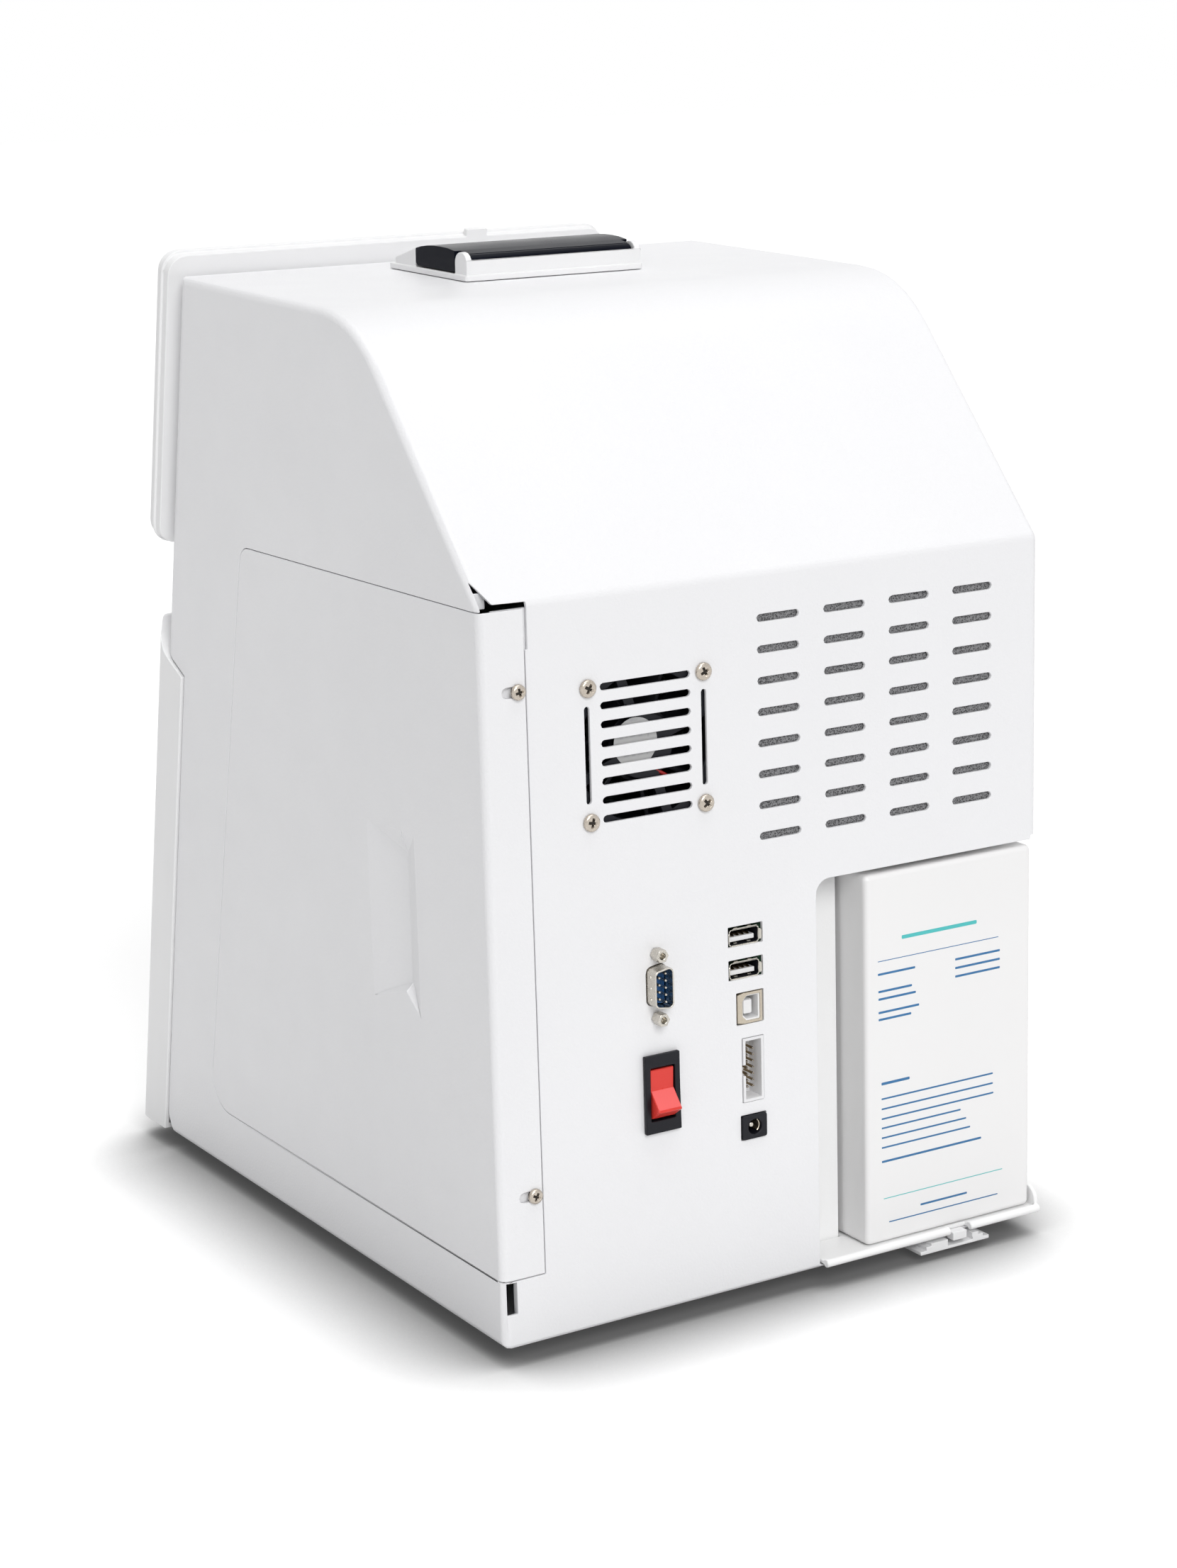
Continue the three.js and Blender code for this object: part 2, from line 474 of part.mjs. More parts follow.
function rearCutouts() {
  const through = [-cabinet.sheet - fit.over, depthBehind];
  const cuts = [];
  for (let column = 0; column < ventColumns; column += 1) {
    for (let row = 0; row < vents.rows; row += 1) {
      const x = ventsRight - column * vents.pitchX;
      const z = ventsZ + (row - (vents.rows - 1) / 2) * vents.pitchZ;
      cuts.push(prismY(slotOutline(x, z, vents.long, vents.height), ...through));
    }
  }
  const slotSpan = fan.size - fan.spanInset * 2;
  for (let row = 0; row < fan.slots; row += 1) {
    const z = fanZ + (row / (fan.slots - 1) - 0.5) * slotSpan;
    cuts.push(prismY(slotOutline(fanX, z, fan.size - fan.slotInset * 2, fan.slotHeight), ...through));
  }
  const sideSlotX = fan.size / 2 - fan.sideSlotInset;
  const sideSlotTall = fan.size - fan.sideSlotTrim * 2;
  for (let side = -1; side <= 1; side += 2) {
    cuts.push(prismY(slotOutline(fanX + side * sideSlotX, fanZ, fan.sideSlotWidth, sideSlotTall), ...through));
    for (let end = -1; end <= 1; end += 2) {
      cuts.push(prismY(
        ring(fanX + (side * fanPitch) / 2, fanZ + (end * fanPitch) / 2, screw.shank + fit.gap, 12), ...through,
      ));
    }
    cuts.push(prismY(
      ring(serialX, serialZ + (side * serial.jackSpan) / 2, serial.jackShank + fit.gap, 12), ...through,
    ));
  }
  const openings = [
    [rockerX, rockerZ, rocker.bodyWidth, rocker.bodyHeight],
    [usbBX, usbBZ, usbB.width, usbB.height],
    [headerX, headerZ, header.width, header.height],
    [jackX, jackZ, powerJack.width, powerJack.height],
  ].map(([x, z, width, height]) => [x, z, width + fit.gap * 2, height + fit.gap * 2]);
  usbALevels.forEach((z) => openings.push([usbAX, z, usbA.cutWidth, usbA.cutHeight]));
  openings.forEach(([x, z, width, height]) => cuts.push(
    block(x - width / 2, x + width / 2, ...through, z - height / 2, z + height / 2),
  ));
  cuts.push(prismY(serialOutline(fit.gap), ...through));
  return cuts;
}

// The serial socket's outline, wider on the side of its five pins.
function serialOutline(grow) {
  const { width, height, slant, radius } = serial;
  const [left, right, low, high] = [
    serialX - width / 2, serialX + width / 2, serialZ - height / 2, serialZ + height / 2,
  ];
  const corners = [
    [left, low, radius], [right, low + slant, radius], [right, high - slant, radius], [left, high, radius],
  ];
  return rounded(inset(corners, -grow), 3);
}

// The printer sits on the top, which falls a little towards the rear, so its pieces and its hole tilt with it.
const printerRear = splitRun + printer.frontAhead - printer.depth;
const wellHalf = printer.width / 2 - printer.wellInset;
const printerWell = block(
  -wellHalf, wellHalf, -printer.depth + printer.wellInset, -printer.wellInset, -printer.wellDepth, fit.over,
).rotate([-THREE.MathUtils.radToDeg(crownTilt), 0, 0]).translate([0, -printerRear, crownAt(printerRear)]);

function cabinetSheets() {
  place('base_pan', shell.intersect(everywhere(-half, half, -fit.over, cabinet.sheet)), 'paint');
  const upper = (x0, x1) => shell.intersect(everywhere(x0, x1, cabinet.sheet, heightAbove));
  place('side_wall_right', without(upper(rim, half), serviceCuts), 'paint');
  place('side_wall_left', upper(-half, -rim).subtract(baySide), 'paint');
  const middle = upper(-rim, rim);
  const back = block(-half, half, -cabinet.rearLap, depthBehind, 0, cabinet.bendHeight);
  place('rear_panel', without(middle.intersect(back), [...serviceCuts, bayMouth, ...rearCutouts()]), 'paint');
  const crown = block(-half, half, -splitRun, depthBehind, cabinet.bendHeight, heightAbove)
    .add(block(-half, half, -reachAhead, -splitRun, splitLevel, heightAbove));
  place('top_cover', without(middle.intersect(crown), [cornerNotch, printerWell]), 'paint');
  const front = block(-half, half, -reachAhead, -splitRun, 0, splitLevel);
  const spindleHole = prismY(
    ring(pumpX, pump.rise, pump.spindle + fit.gap, 16), -fit.over, cabinet.sheet + fit.over,
  ).rotate([-cabinet.leanAngle, 0, 0]).translate([0, seamY(0), 0]);
  place('front_frame', middle.intersect(front).subtract(spindleHole), 'paint');
}

// The service door is the rest of the same shell, with a grip pressed into it.
const gripHull = (grow, skin) => {
  const { gripTopDrop, gripTall, gripFloorTop, gripFloorBottom, gripToe } = serviceDoor;
  const [ahead, behind] = [-serviceDoor.gripFront - grow, -serviceDoor.gripRear + grow];
  const high = doorTop - gripTopDrop;
  const low = high - gripTall;
  const floor = half - serviceDoor.gripDepth - grow;
  const mouth = (x) => [
    [x, ahead, high + grow], [x, behind, high + grow], [x, behind, low - grow], [x, ahead, low + gripToe - grow],
  ];
  return new ConvexGeometry([
    ...mouth(half + fit.over - skin), ...mouth(half - skin),
    [floor, -serviceDoor.gripFloor, high - gripFloorTop], [floor, -serviceDoor.gripFloor, low + gripFloorBottom],
  ].map(([x, y, z]) => new THREE.Vector3(x, y, z)));
};

function serviceDoorPieces() {
  const region = prismX(rounded(doorCorners(depthBehind)), rim - cabinet.sheet, half + fit.over).add(
    block(flangeEdge, half + fit.over, -cabinet.sheet - fit.hair, depthBehind, serviceDoor.bottom, doorTop),
  );
  const slots = doorScrewLevels.map((z) => prismY(
    slotOutline(doorScrewX + serviceDoor.slotShift, z, serviceDoor.slotLength, serviceDoor.slotHeight),
    -cabinet.sheet - fit.over, depthBehind,
  ));
  const skin = shell.intersect(region);
  const bulge = solidOf(gripHull(cabinet.sheet, cabinet.sheet)).intersect(block(
    half - serviceDoor.gripDepth - cabinet.sheet - fit.over, half - cabinet.sheet / 2,
    doorFrontLow, -cabinet.sheet, serviceDoor.bottom, doorTop,
  ));
  place('service_door', without(skin.add(bulge), [solidOf(gripHull(0, 0)), ...slots]), 'paint');

  const stripRear = -cabinet.sheet - fit.gap;
  const stripLeft = flangeEdge - serviceDoor.stripLap;
  const strip = block(
    stripLeft, stripLeft + serviceDoor.stripWidth, stripRear - serviceDoor.stripThick, stripRear,
    cabinet.sheet + fit.gap, doorTop,
  );
  const holes = doorScrewLevels.map((z) => prismY(
    ring(doorScrewX, z, doorScrew.shank + fit.gap, 12), -doorScrew.reach, 0,
  ));
  place('door_strip', without(strip, holes), 'paint');
  doorScrewLevels.forEach((z, i) => {
    place(`door_screw_${i + 1}`, panScrew(doorScrewX, z, doorScrew, doorScrew.reach), 'steel');
  });
}

// A pan-head screw with a cross recess, its head on the rear face and its shank running inwards.
function panScrew(x, z, size, length) {
  const { head, headHeight, shank } = size;
  const { brim, shoulder, shoulderRise, flat } = headShares;
  const profile = [
    [0, -length], [shank, -length], [shank, fit.gap], [head, fit.gap], [head, fit.gap + headHeight * brim],
    [head * shoulder, fit.gap + headHeight * shoulderRise], [head * flat, fit.gap + headHeight],
    [0, fit.gap + headHeight],
  ];
  const body = turned(profile, new THREE.Vector3(x, 0, z), unitY, 10);
  const floor = fit.gap + size.headHeight - size.crossDepth;
  const bar = (long, wide) => block(
    x - long, x + long, floor, fit.gap + size.headHeight + fit.over, z - wide, z + wide,
  );
  const wide = size.crossWidth / 2;
  return without(body, [bar(size.cross, wide), bar(wide, size.cross)]);
}

// Four rubber feet, turned, each with the recess of its screw.
function feet() {
  const profile = [
    [0, foot.holeDepth], [foot.hole, foot.holeDepth], [foot.hole, 0], [foot.baseRadius, 0],
    [foot.radius, foot.height], [0, foot.height],
  ];
  const spots = {
    rear_right: [half - foot.inset, -foot.inset], rear_left: [-half + foot.inset, -foot.inset],
    front_right: [half - foot.inset, seamY(0) + foot.inset],
    front_left: [-half + foot.inset, seamY(0) + foot.inset],
  };
  Object.entries(spots).forEach(([name, [x, y]]) => {
    place(`foot_${name}`, turned(profile, new THREE.Vector3(x, y, -foot.height), unitZ, 20), 'rubber');
  });
}

// The cooling fan behind its slots: frame with hub and struts, then the bladed rotor on its spindle.
function coolingFan() {
  const face = -cabinet.sheet - fit.gap;
  const corners = rectangle(
    fanX - fan.size / 2, fanX + fan.size / 2, fanZ - fan.size / 2, fanZ + fan.size / 2, fan.cornerRadius,
  );
  const holes = [[-1, -1], [-1, 1], [1, -1], [1, 1]].map(([side, end]) => ring(
    fanX + (side * fanPitch) / 2, fanZ + (end * fanPitch) / 2, screw.shank + fit.gap, 12,
  ));
  const ringFrame = prismY(rounded(corners, 3), face - fan.depth, face, [ring(fanX, fanZ, fanBore, 28), ...holes]);
  const hub = prismY(ring(fanX, fanZ, fan.hub, 20), face - fan.hubThick, face, []);
  const struts = [];
  for (let i = 0; i < fan.struts; i += 1) {
    const arm = block(
      fan.hub - fit.over, fanBore + fit.running, face - fan.hubThick, face, -fan.strutWidth / 2, fan.strutWidth / 2,
    );
    struts.push(arm.rotate([0, (i * 360) / fan.struts + fan.strutTurn, 0]).translate([fanX, 0, fanZ]));
  }
  const socket = prismY(
    ring(fanX, fanZ, fan.spindle + fit.gap, 12), face - fan.hubThick - fit.over, face - fan.hubThick / 2 + fit.gap,
  );
  place('fan_frame', joined([ringFrame, hub, ...struts]).subtract(socket), 'black');

  const rotorRear = face - fan.hubThick - fit.gap;
  const rotorFront = face - fan.depth + fit.gap;
  const cap = prismY(ring(fanX, fanZ, fan.rotorHub, 20), rotorFront, rotorRear);
  const spindle = prismY(ring(fanX, fanZ, fan.spindle, 12), rotorRear - fit.over, face - fan.hubThick / 2);
  const bladeReach = fanBore - fan.tip;
  const long = (rotorRear - rotorFront) / Math.cos(THREE.MathUtils.degToRad(fan.bladeTwist));
  const blades = [];
  for (let i = 0; i < fan.blades; i += 1) {
    const blade = block(
      fan.rotorHub - fit.over, bladeReach, -long / 2, long / 2, -fan.bladeThick / 2, fan.bladeThick / 2,
    ).rotate([fan.bladeTwist, 0, 0]);
    blades.push(blade.rotate([0, (i * 360) / fan.blades, 0]).translate([fanX, (rotorFront + rotorRear) / 2, fanZ]));
  }
  const sweep = prismY(ring(fanX, fanZ, bladeReach, 36), rotorFront, rotorRear);
  place('fan_rotor', joined([cap, ...blades]).intersect(sweep).add(spindle), 'black');

  for (let i = 0; i < fan.struts; i += 1) {
    const side = i % 2 === 0 ? -1 : 1;
    const end = i < 2 ? -1 : 1;
    place(`fan_screw_${i + 1}`, panScrew(
      fanX + (side * fanPitch) / 2, fanZ + (end * fanPitch) / 2, screw, fan.depth / 2,
    ), 'steel');
  }
}

// The foam sheet behind the vent slots.
function ventFilter() {
  const left = ventsRight - (ventColumns - 1) * vents.pitchX - vents.long / 2 - filter.margin;
  const reachZ = ((vents.rows - 1) / 2) * vents.pitchZ + vents.height / 2 + filter.margin;
  const rear = -cabinet.sheet - fit.gap;
  place('vent_filter', block(
    left, ventsRight + vents.long / 2 + filter.margin, rear - filter.thick, rear, ventsZ - reachZ, ventsZ + reachZ,
  ), 'foam');
}

// The mains switch: a bezelled housing with a well, and the rocker on its two pins.
function mainsSwitch() {
  const [x, z] = [rockerX, rockerZ];
  const halfWidth = rocker.width / 2;
  const wellWidth = halfWidth + rocker.play;
  const reach = rocker.height / 2 - rocker.play;
  const face = Math.tan(THREE.MathUtils.degToRad(rocker.faceAngle));
  const wellHeight = Math.hypot(rocker.pivotDepth + reach * face, reach) + fit.gap;
  const bezel = prismY(rounded(rectangle(
    x - rocker.bezelWidth / 2, x + rocker.bezelWidth / 2, z - rocker.bezelHeight / 2, z + rocker.bezelHeight / 2,
    rocker.play,
  ), 2), fit.gap, fit.gap + rocker.bezelThick);
  const body = block(
    x - rocker.bodyWidth / 2, x + rocker.bodyWidth / 2, -rocker.bodyDepth, fit.gap + rocker.bezelThick / 2,
    z - rocker.bodyHeight / 2, z + rocker.bodyHeight / 2,
  );
  const faceLevel = fit.gap + rocker.bezelThick;
  const well = block(
    x - wellWidth, x + wellWidth, -rocker.wellDepth, faceLevel + fit.over, z - wellHeight, z + wellHeight,
  );
  const pivotY = faceLevel - rocker.pivotDepth;
  const bores = prismX(
    ring(pivotY, z, rocker.pin + fit.gap, 12), x - wellWidth - rocker.pinLength, x + wellWidth + rocker.pinLength,
  );
  place('switch_body', without(bezel.add(body), [well, bores]), 'black');

  const flank = [];
  const steps = 6;
  for (let k = 0; k <= steps; k += 1) {
    const angle = -Math.PI / 2 - (k * Math.PI) / steps;
    flank.push(new THREE.Vector2(reach * Math.cos(angle) * rocker.flankShare, reach * Math.sin(angle)));
  }
  const tipY = rocker.pivotDepth + reach * face;
  const profile = [
    new THREE.Vector2(rocker.pivotDepth, 0), new THREE.Vector2(tipY, reach), ...flank.reverse(),
    new THREE.Vector2(tipY, -reach),
  ];
  const paddle = prismX(profile, -halfWidth, halfWidth).add(prismX(
    ring(0, 0, rocker.pin, 12), -wellWidth - rocker.pinLength + fit.gap, wellWidth + rocker.pinLength - fit.gap,
  ));
  place('switch_rocker', paddle.rotate([rocker.faceAngle, 0, 0]).translate([x, pivotY, z]), 'red');
}

// The serial socket: a steel shell, an insert with nine pins and two jackscrews.
function serialSocket() {
  const [x, z] = [serialX, serialZ];
  const face = -cabinet.sheet - fit.gap;
  const shellRear = -board.depth + fit.gap;
  const flange = block(
    x - serial.flangeWidth / 2, x + serial.flangeWidth / 2, face - serial.flangeThick, face,
    z - serial.flangeHeight / 2, z + serial.flangeHeight / 2,
  );
  const bores = [-1, 1].map((end) => prismY(
    ring(x, z + (end * serial.jackSpan) / 2, serial.jackShank + fit.gap, 12), shellRear, 0,
  ));
  const hollow = prismY(serialOutline(-serial.wall), shellRear - fit.over, serial.reach + fit.over);
  const tube = prismY(serialOutline(0), shellRear, serial.reach);
  place('serial_shell', without(flange.add(tube), [hollow, ...bores]), 'steel');

  const parts = [prismY(serialOutline(-serial.wall - fit.gap), shellRear, serial.floorDepth)];
  for (let column = 0; column < 2; column += 1) {
    const count = 5 - column;
    for (let i = 0; i < count; i += 1) {
      const pinX = x + (column - 0.5) * serial.rowGap;
      const pinZ = z + (i - (count - 1) / 2) * serial.pitch;
      parts.push(prismY(ring(pinX, pinZ, serial.pin, 6), 0, serial.pinReach));
    }
  }
  place('serial_insert', joined(parts), 'blue');

  [-1, 1].forEach((end) => {
    const at = z + (end * serial.jackSpan) / 2;
    const nut = prismY(ring(x, at, serial.hex, 6), fit.gap, serial.hexReach)
      .add(prismY(ring(x, at, serial.jackShank, 12), shellRear + fit.over, fit.gap + fit.over))
      .subtract(prismY(ring(x, at, serial.jackBore, 12), serial.boreStart, serial.hexReach + fit.over));
    place(end > 0 ? 'jackscrew_upper' : 'jackscrew_lower', nut, 'steel');
  });
}

// The other sockets in the rear panel, each seated on the interface board.
function sockets() {
  const rear = -board.depth + fit.gap;
  const mouth = -cabinet.sheet / 2;
  const { width: stackWidth, height: portHeight, wall: portWall } = usbA;
  const stackX = usbAX;
  const [upperLevel, lowerLevel] = usbALevels;
  const can = block(
    stackX - stackWidth / 2, stackX + stackWidth / 2, rear, mouth,
    lowerLevel - portHeight / 2, upperLevel + portHeight / 2,
  );
  const ports = usbALevels.map((z) => block(
    stackX - stackWidth / 2 + portWall, stackX + stackWidth / 2 - portWall, mouth - usbA.depth, mouth + fit.over,
    z - portHeight / 2 + portWall, z + portHeight / 2 - portWall,
  ));
  const blades = usbALevels.map((z) => {
    const low = z + usbA.tongueRise - usbA.tongueThick / 2;
    return block(
      stackX - usbA.tongueWidth / 2, stackX + usbA.tongueWidth / 2, mouth - usbA.depth - fit.over / 2,
      mouth - cabinet.sheet / 2, low, low + usbA.tongueThick,
    );
  });
  const panelRoom = block(
    stackX - stackWidth, stackX + stackWidth, -cabinet.sheet - fit.gap, fit.over,
    lowerLevel + portHeight / 2, upperLevel - portHeight / 2,
  );
  place('usb_a_stack', joined([without(can, [...ports, panelRoom]), ...blades]), 'steel');

  const squareB = (grow) => {
    const { width, height, bevel } = usbB;
    const [left, right, low, high] = [
      usbBX - width / 2, usbBX + width / 2, usbBZ - height / 2, usbBZ + height / 2,
    ];
    return rounded(inset([
      [left, low], [right, low], [right, high - bevel], [right - bevel, high], [left + bevel, high],
      [left, high - bevel],
    ], grow));
  };
  const core = block(
    usbBX - usbB.core / 2, usbBX + usbB.core / 2, mouth - usbB.depth - fit.over, mouth - cabinet.sheet,
    usbBZ - usbB.coreHeight / 2, usbBZ + usbB.coreHeight / 2,
  );
  place('usb_b', prismY(squareB(0), rear, fit.gap)
    .subtract(prismY(squareB(usbB.wall), mouth - usbB.depth, fit.over)).add(core), 'steel');

  const { width, height, wall } = header;
  const [x, z] = [headerX, headerZ];
  const shroud = block(x - width / 2, x + width / 2, rear, fit.gap, z - height / 2, z + height / 2);
  const hollow = block(
    x - width / 2 + wall, x + width / 2 - wall, fit.gap - header.depth, fit.over,
    z - height / 2 + wall, z + height / 2 - wall,
  );
  const key = block(
    x + width / 2 - wall - fit.hair, x + width / 2 + fit.over, fit.gap - header.depth / 2, fit.over,
    z - header.keyHeight / 2, z + header.keyHeight / 2,
  );
  const pins = [];
  for (let row = 0; row < header.pins; row += 1) {
    for (let column = -1; column <= 1; column += 2) {
      const pinX = x + (column * header.pitch) / 2;
      const pinZ = z + (row - (header.pins - 1) / 2) * header.pitch;
      pins.push(block(
        pinX - header.pin, pinX + header.pin, fit.gap - header.depth - fit.over / 2,
        fit.gap - header.depth + header.pinReach, pinZ - header.pin, pinZ + header.pin,
      ));
    }
  }
  place('box_header', joined([without(shroud, [hollow, key]), ...pins]), 'grey');

  const jack = powerJack;
  const jackBody = prismY(rounded(rectangle(
    jackX - jack.width / 2, jackX + jack.width / 2, jackZ - jack.height / 2, jackZ + jack.height / 2,
    jack.cornerRadius,
  ), 2), rear, fit.gap + cabinet.sheet / 2);
  const bore = prismY(ring(jackX, jackZ, jack.bore, 20), -jack.depth, fit.gap + fit.over);
  const pin = prismY(ring(jackX, jackZ, jack.pin, 10), -jack.depth - fit.over / 2, -cabinet.sheet);
  place('power_jack', jackBody.subtract(bore).add(pin), 'black');
}

// The board that carries the sockets, held off the rear panel by four spacers.
function interfaceBoard() {
  const rear = -board.depth;
  const [left, right, step] = [
    half - board.fromWall - board.reachLeft, half - board.fromWall - board.reachRight,
    half - board.fromWall - board.stepFrom,
  ];
  const [low, high] = [serialZ - board.drop, serialZ + board.rise];
  const stepLevel = serialZ - board.stepDrop;
  const parts = [prismY([
    [left, low], [step, low], [step, stepLevel], [right, stepLevel], [right, high], [left, high],
  ].map(([x, z]) => new THREE.Vector2(x, z)), rear - board.thick, rear)];
  const spots = [[left, low, 1, 1], [step, low, -1, 1], [left, high, 1, -1], [right, high, -1, -1]];
  spots.forEach(([x, z, sideX, sideZ]) => {
    parts.push(prismY(
      ring(x + sideX * board.spacerInset, z + sideZ * board.spacerInset, board.spacer, 6),
      rear - board.thick / 2, -cabinet.sheet - fit.gap,
    ));
  });
  place('interface_board', joined(parts), 'green');
}

// The reagent bay behind its mouth: partition with a flange, roof and back wall.
function reagentBay() {
  const low = cabinet.sheet + fit.gap;
  const face = -bay.flangeDepth;
  const wallLeft = bayWallX - bay.sheet;
  const partition = block(wallLeft, bayWallX, -bay.depth, face, low, bayRoof)
    .add(block(wallLeft, flangeX, face - bay.sheet, face, low, bayRoof));
  place('bay_partition', partition, 'paint');
  place('bay_roof', block(
    -inner + fit.gap, flangeX, -bay.depth, -cabinet.sheet - fit.gap, bayRoof + fit.gap, bayRoof + fit.gap + bay.sheet,
  ), 'paint');
  place('bay_back_wall', block(
    -inner + fit.gap, wallLeft, -bay.depth - fit.gap - bay.sheet, -bay.depth - fit.gap, low, bayRoof,
  ), 'paint');
}

// The drawer under the pack: floor, low side and front walls, and a rolled bead at the rear.
function reagentDrawer() {
  const { floor, thick } = drawer;
  const rearEdge = drawer.beadOut;
  const base = block(-drawerOuter, -drawerInner, -drawerFront, rearEdge, floor, floor + thick);
  const side = prismX(rounded([
    [-drawerFront, floor], [rearEdge, floor], [rearEdge, floor + drawer.sideRise, drawer.cornerRadius],
    [-drawerFront, floor + drawer.sideRise],
  ]), -drawerOuter, -drawerOuter + drawer.sideWall);
  const front = block(
    -drawerOuter, -drawerInner, -drawerFront, -drawerFront + drawer.sideWall, floor, floor + drawer.frontRise,
  );
  const apron = block(
    -drawerInner - fit.over, mouthX - fit.running, -bay.flangeDepth + fit.running, rearEdge, floor, floor + thick,
  );
  const bead = prismX(ring(rearEdge, floor + thick / 2, drawer.bead, 14), -drawerOuter, mouthX - fit.running);
  const notch = block(
    catchX - drawer.notchLeft, catchX + drawer.notchRight, -drawer.notchDepth, rearEdge + drawer.bead + fit.over,
    -fit.over, floor + thick + fit.over,
  );
  place('reagent_drawer', joined([base, side, front, apron, bead]).subtract(notch), 'moulding');

  const packLow = floor + thick + pack.seatGap;
  const packFront = drawerFront - drawer.sideWall - pack.frontGap;
  place('reagent_pack', softBody(
    rectangle(-packFront, pack.rear, packLow, mouthTop - pack.topDrop, pack.edgeRadius), pack.edgeRadius,
    (packFace.right - packFace.left) / 2, 3,
  ).translate([-(packFace.left + packFace.right) / 2, 0, 0]), 'carton');
}

// The catch under the rear edge: a stepped block on the base, and the drawer's sprung tongue in its channel.
function drawerCatch() {
  const top = -catchBlock.topGap;
  const { width, low, plate, plateTwo, stepOne, stepTwo, front, rear } = catchBlock;
  const [left, right] = [catchX - width / 2, catchX + width / 2];
  const slab = block(left, right, -front, rear, -low, -low + plate);
  const middle = block(left + stepOne, right - stepOne, -front, rear, -low, -low + plateTwo);
  const upper = block(left + stepTwo, right - stepTwo, -front, rear, -low, top);
  const channel = block(
    catchX - catchBlock.channelLeft, catchX + catchBlock.channelRight, -front - fit.over, rear + fit.over,
    -low + catchBlock.cheek, top + fit.over,
  );
  place('catch_block', joined([slab, middle, upper]).subtract(channel), 'moulding');
  place('latch_tongue', block(
    catchX - tongue.left, catchX + tongue.right, tongue.behind, tongue.rear, -tongue.low, -tongue.low + tongue.rise,
  ), 'beige');
}

// The front group leans with the cabinet: its y is the normal of the leaning face, its z climbs along it.
function leaningGroup(y, z) {
  const group = new THREE.Group();
  group.position.set(0, y, z);
  group.rotation.x = -leanRadians;
  analyzer.add(group);
  return group;
}

// The display: a rear shell, a bezel and the touch glass, standing off the front by a small gap.
function displayUnit() {
  const base = leaningGroup(frontY(displayLow), displayLow);
  const tall = (displayHigh - displayLow) / cosLean;
  const rear = -fit.gap;
  const split = rear - display.thick * (1 - display.frontShare);
  const front = rear - display.thick;
  const outline = (grow) => inset(rectangle(displayLeft, displayRight, 0, tall, display.cornerRadius), -grow);
  const opening = rectangle(
    displayLeft + display.border, displayRight - display.border, display.chin, tall - display.border, display.wall,
  );
  const hollow = rounded(outline(-display.wall));
  const bead = prismY(rounded(outline(display.bead)), split, split + display.beadDepth)
    .subtract(prismY(hollow, split - fit.over, split + display.beadDepth + fit.over));
  const tray = prismY(rounded(outline(0)), split, rear)
    .subtract(prismY(hollow, split - fit.over, rear - display.wall));
  const tabLeft = displayLeft + display.tabStart;
  const tab = block(
    tabLeft, tabLeft + display.tabWidth, rear - display.tabThick, rear, tall - fit.over, tall + display.tabRise,
  );
  place('display_back', joined([tray, bead, tab]), 'moulding', base);

  const frontFace = prismY(rounded(outline(0)), front, split - fit.gap);
  const lip = prismY(rounded(inset(opening, display.wall)), front - fit.over, front + display.lip);
  const seat = prismY(rounded(opening), front + display.lip, split + fit.over);
  place('display_bezel', without(frontFace, [lip, seat]), 'moulding', base);
  const glassFront = front + display.lip + fit.gap;
  place('touch_glass', prismY(
    rounded(inset(opening, fit.gap)), glassFront, glassFront + display.glassThick,
  ), 'glass', base);
}

// The sampler: a housing beside the display with a slot, and the lever that swings its needle out.
function samplerUnit() {
  const level = displayLow - sampler.drop;
  const base = leaningGroup(frontY(level), level);
  const rear = -fit.gap;
  const front = rear - sampler.depth;
  const x = -half + sampler.inset;
  const housing = prismY(rounded(rectangle(
    x - sampler.width / 2, x + sampler.width / 2, 0, sampler.height, sampler.radius,
  )), front, rear);
  const slot = block(
    x - sampler.slotWidth / 2, x + sampler.slotWidth / 2, front - fit.over, rear - sampler.slotFloor,
    sampler.slotLow, sampler.slotHigh,
  );
  const pivotY = rear - sampler.pivotDepth;
  const axle = (radius, reach) => prismX(ring(pivotY, sampler.pivotRise, radius, 14), x - reach, x + reach);
  const pinReach = sampler.slotWidth / 2 + sampler.pinReach;
  place('sampler_housing', without(housing, [slot, axle(sampler.pin + fit.gap, pinReach)]), 'moulding', base);

  const leverHalf = sampler.leverWidth / 2;
  const bottom = sampler.pivotRise - sampler.leverLength;
  const [ahead, behind] = [pivotY - sampler.leverThick / 2, pivotY + sampler.leverThick / 2];
  const crest = sampler.pivotRise + sampler.leverThick / 2;
  const arm = prismX(rounded([
    [ahead, bottom], [behind, bottom], [behind, crest, sampler.pin], [ahead, crest, sampler.pin],
  ]), x - leverHalf, x + leverHalf);
  const grip = prismX(rounded([
    [ahead - sampler.gripReach, bottom, sampler.pin], [pivotY, bottom], [pivotY, bottom + sampler.gripRise],
  ]), x - leverHalf, x + leverHalf);
  place('sampler_lever', joined([arm, grip, axle(sampler.pin, pinReach - fit.gap)]), 'blue', base);
  place('sampler_needle', prismZ(
    ring(x, pivotY, sampler.needle, 10), bottom - sampler.needleReach, bottom - fit.gap,
  ), 'steel', base);
}

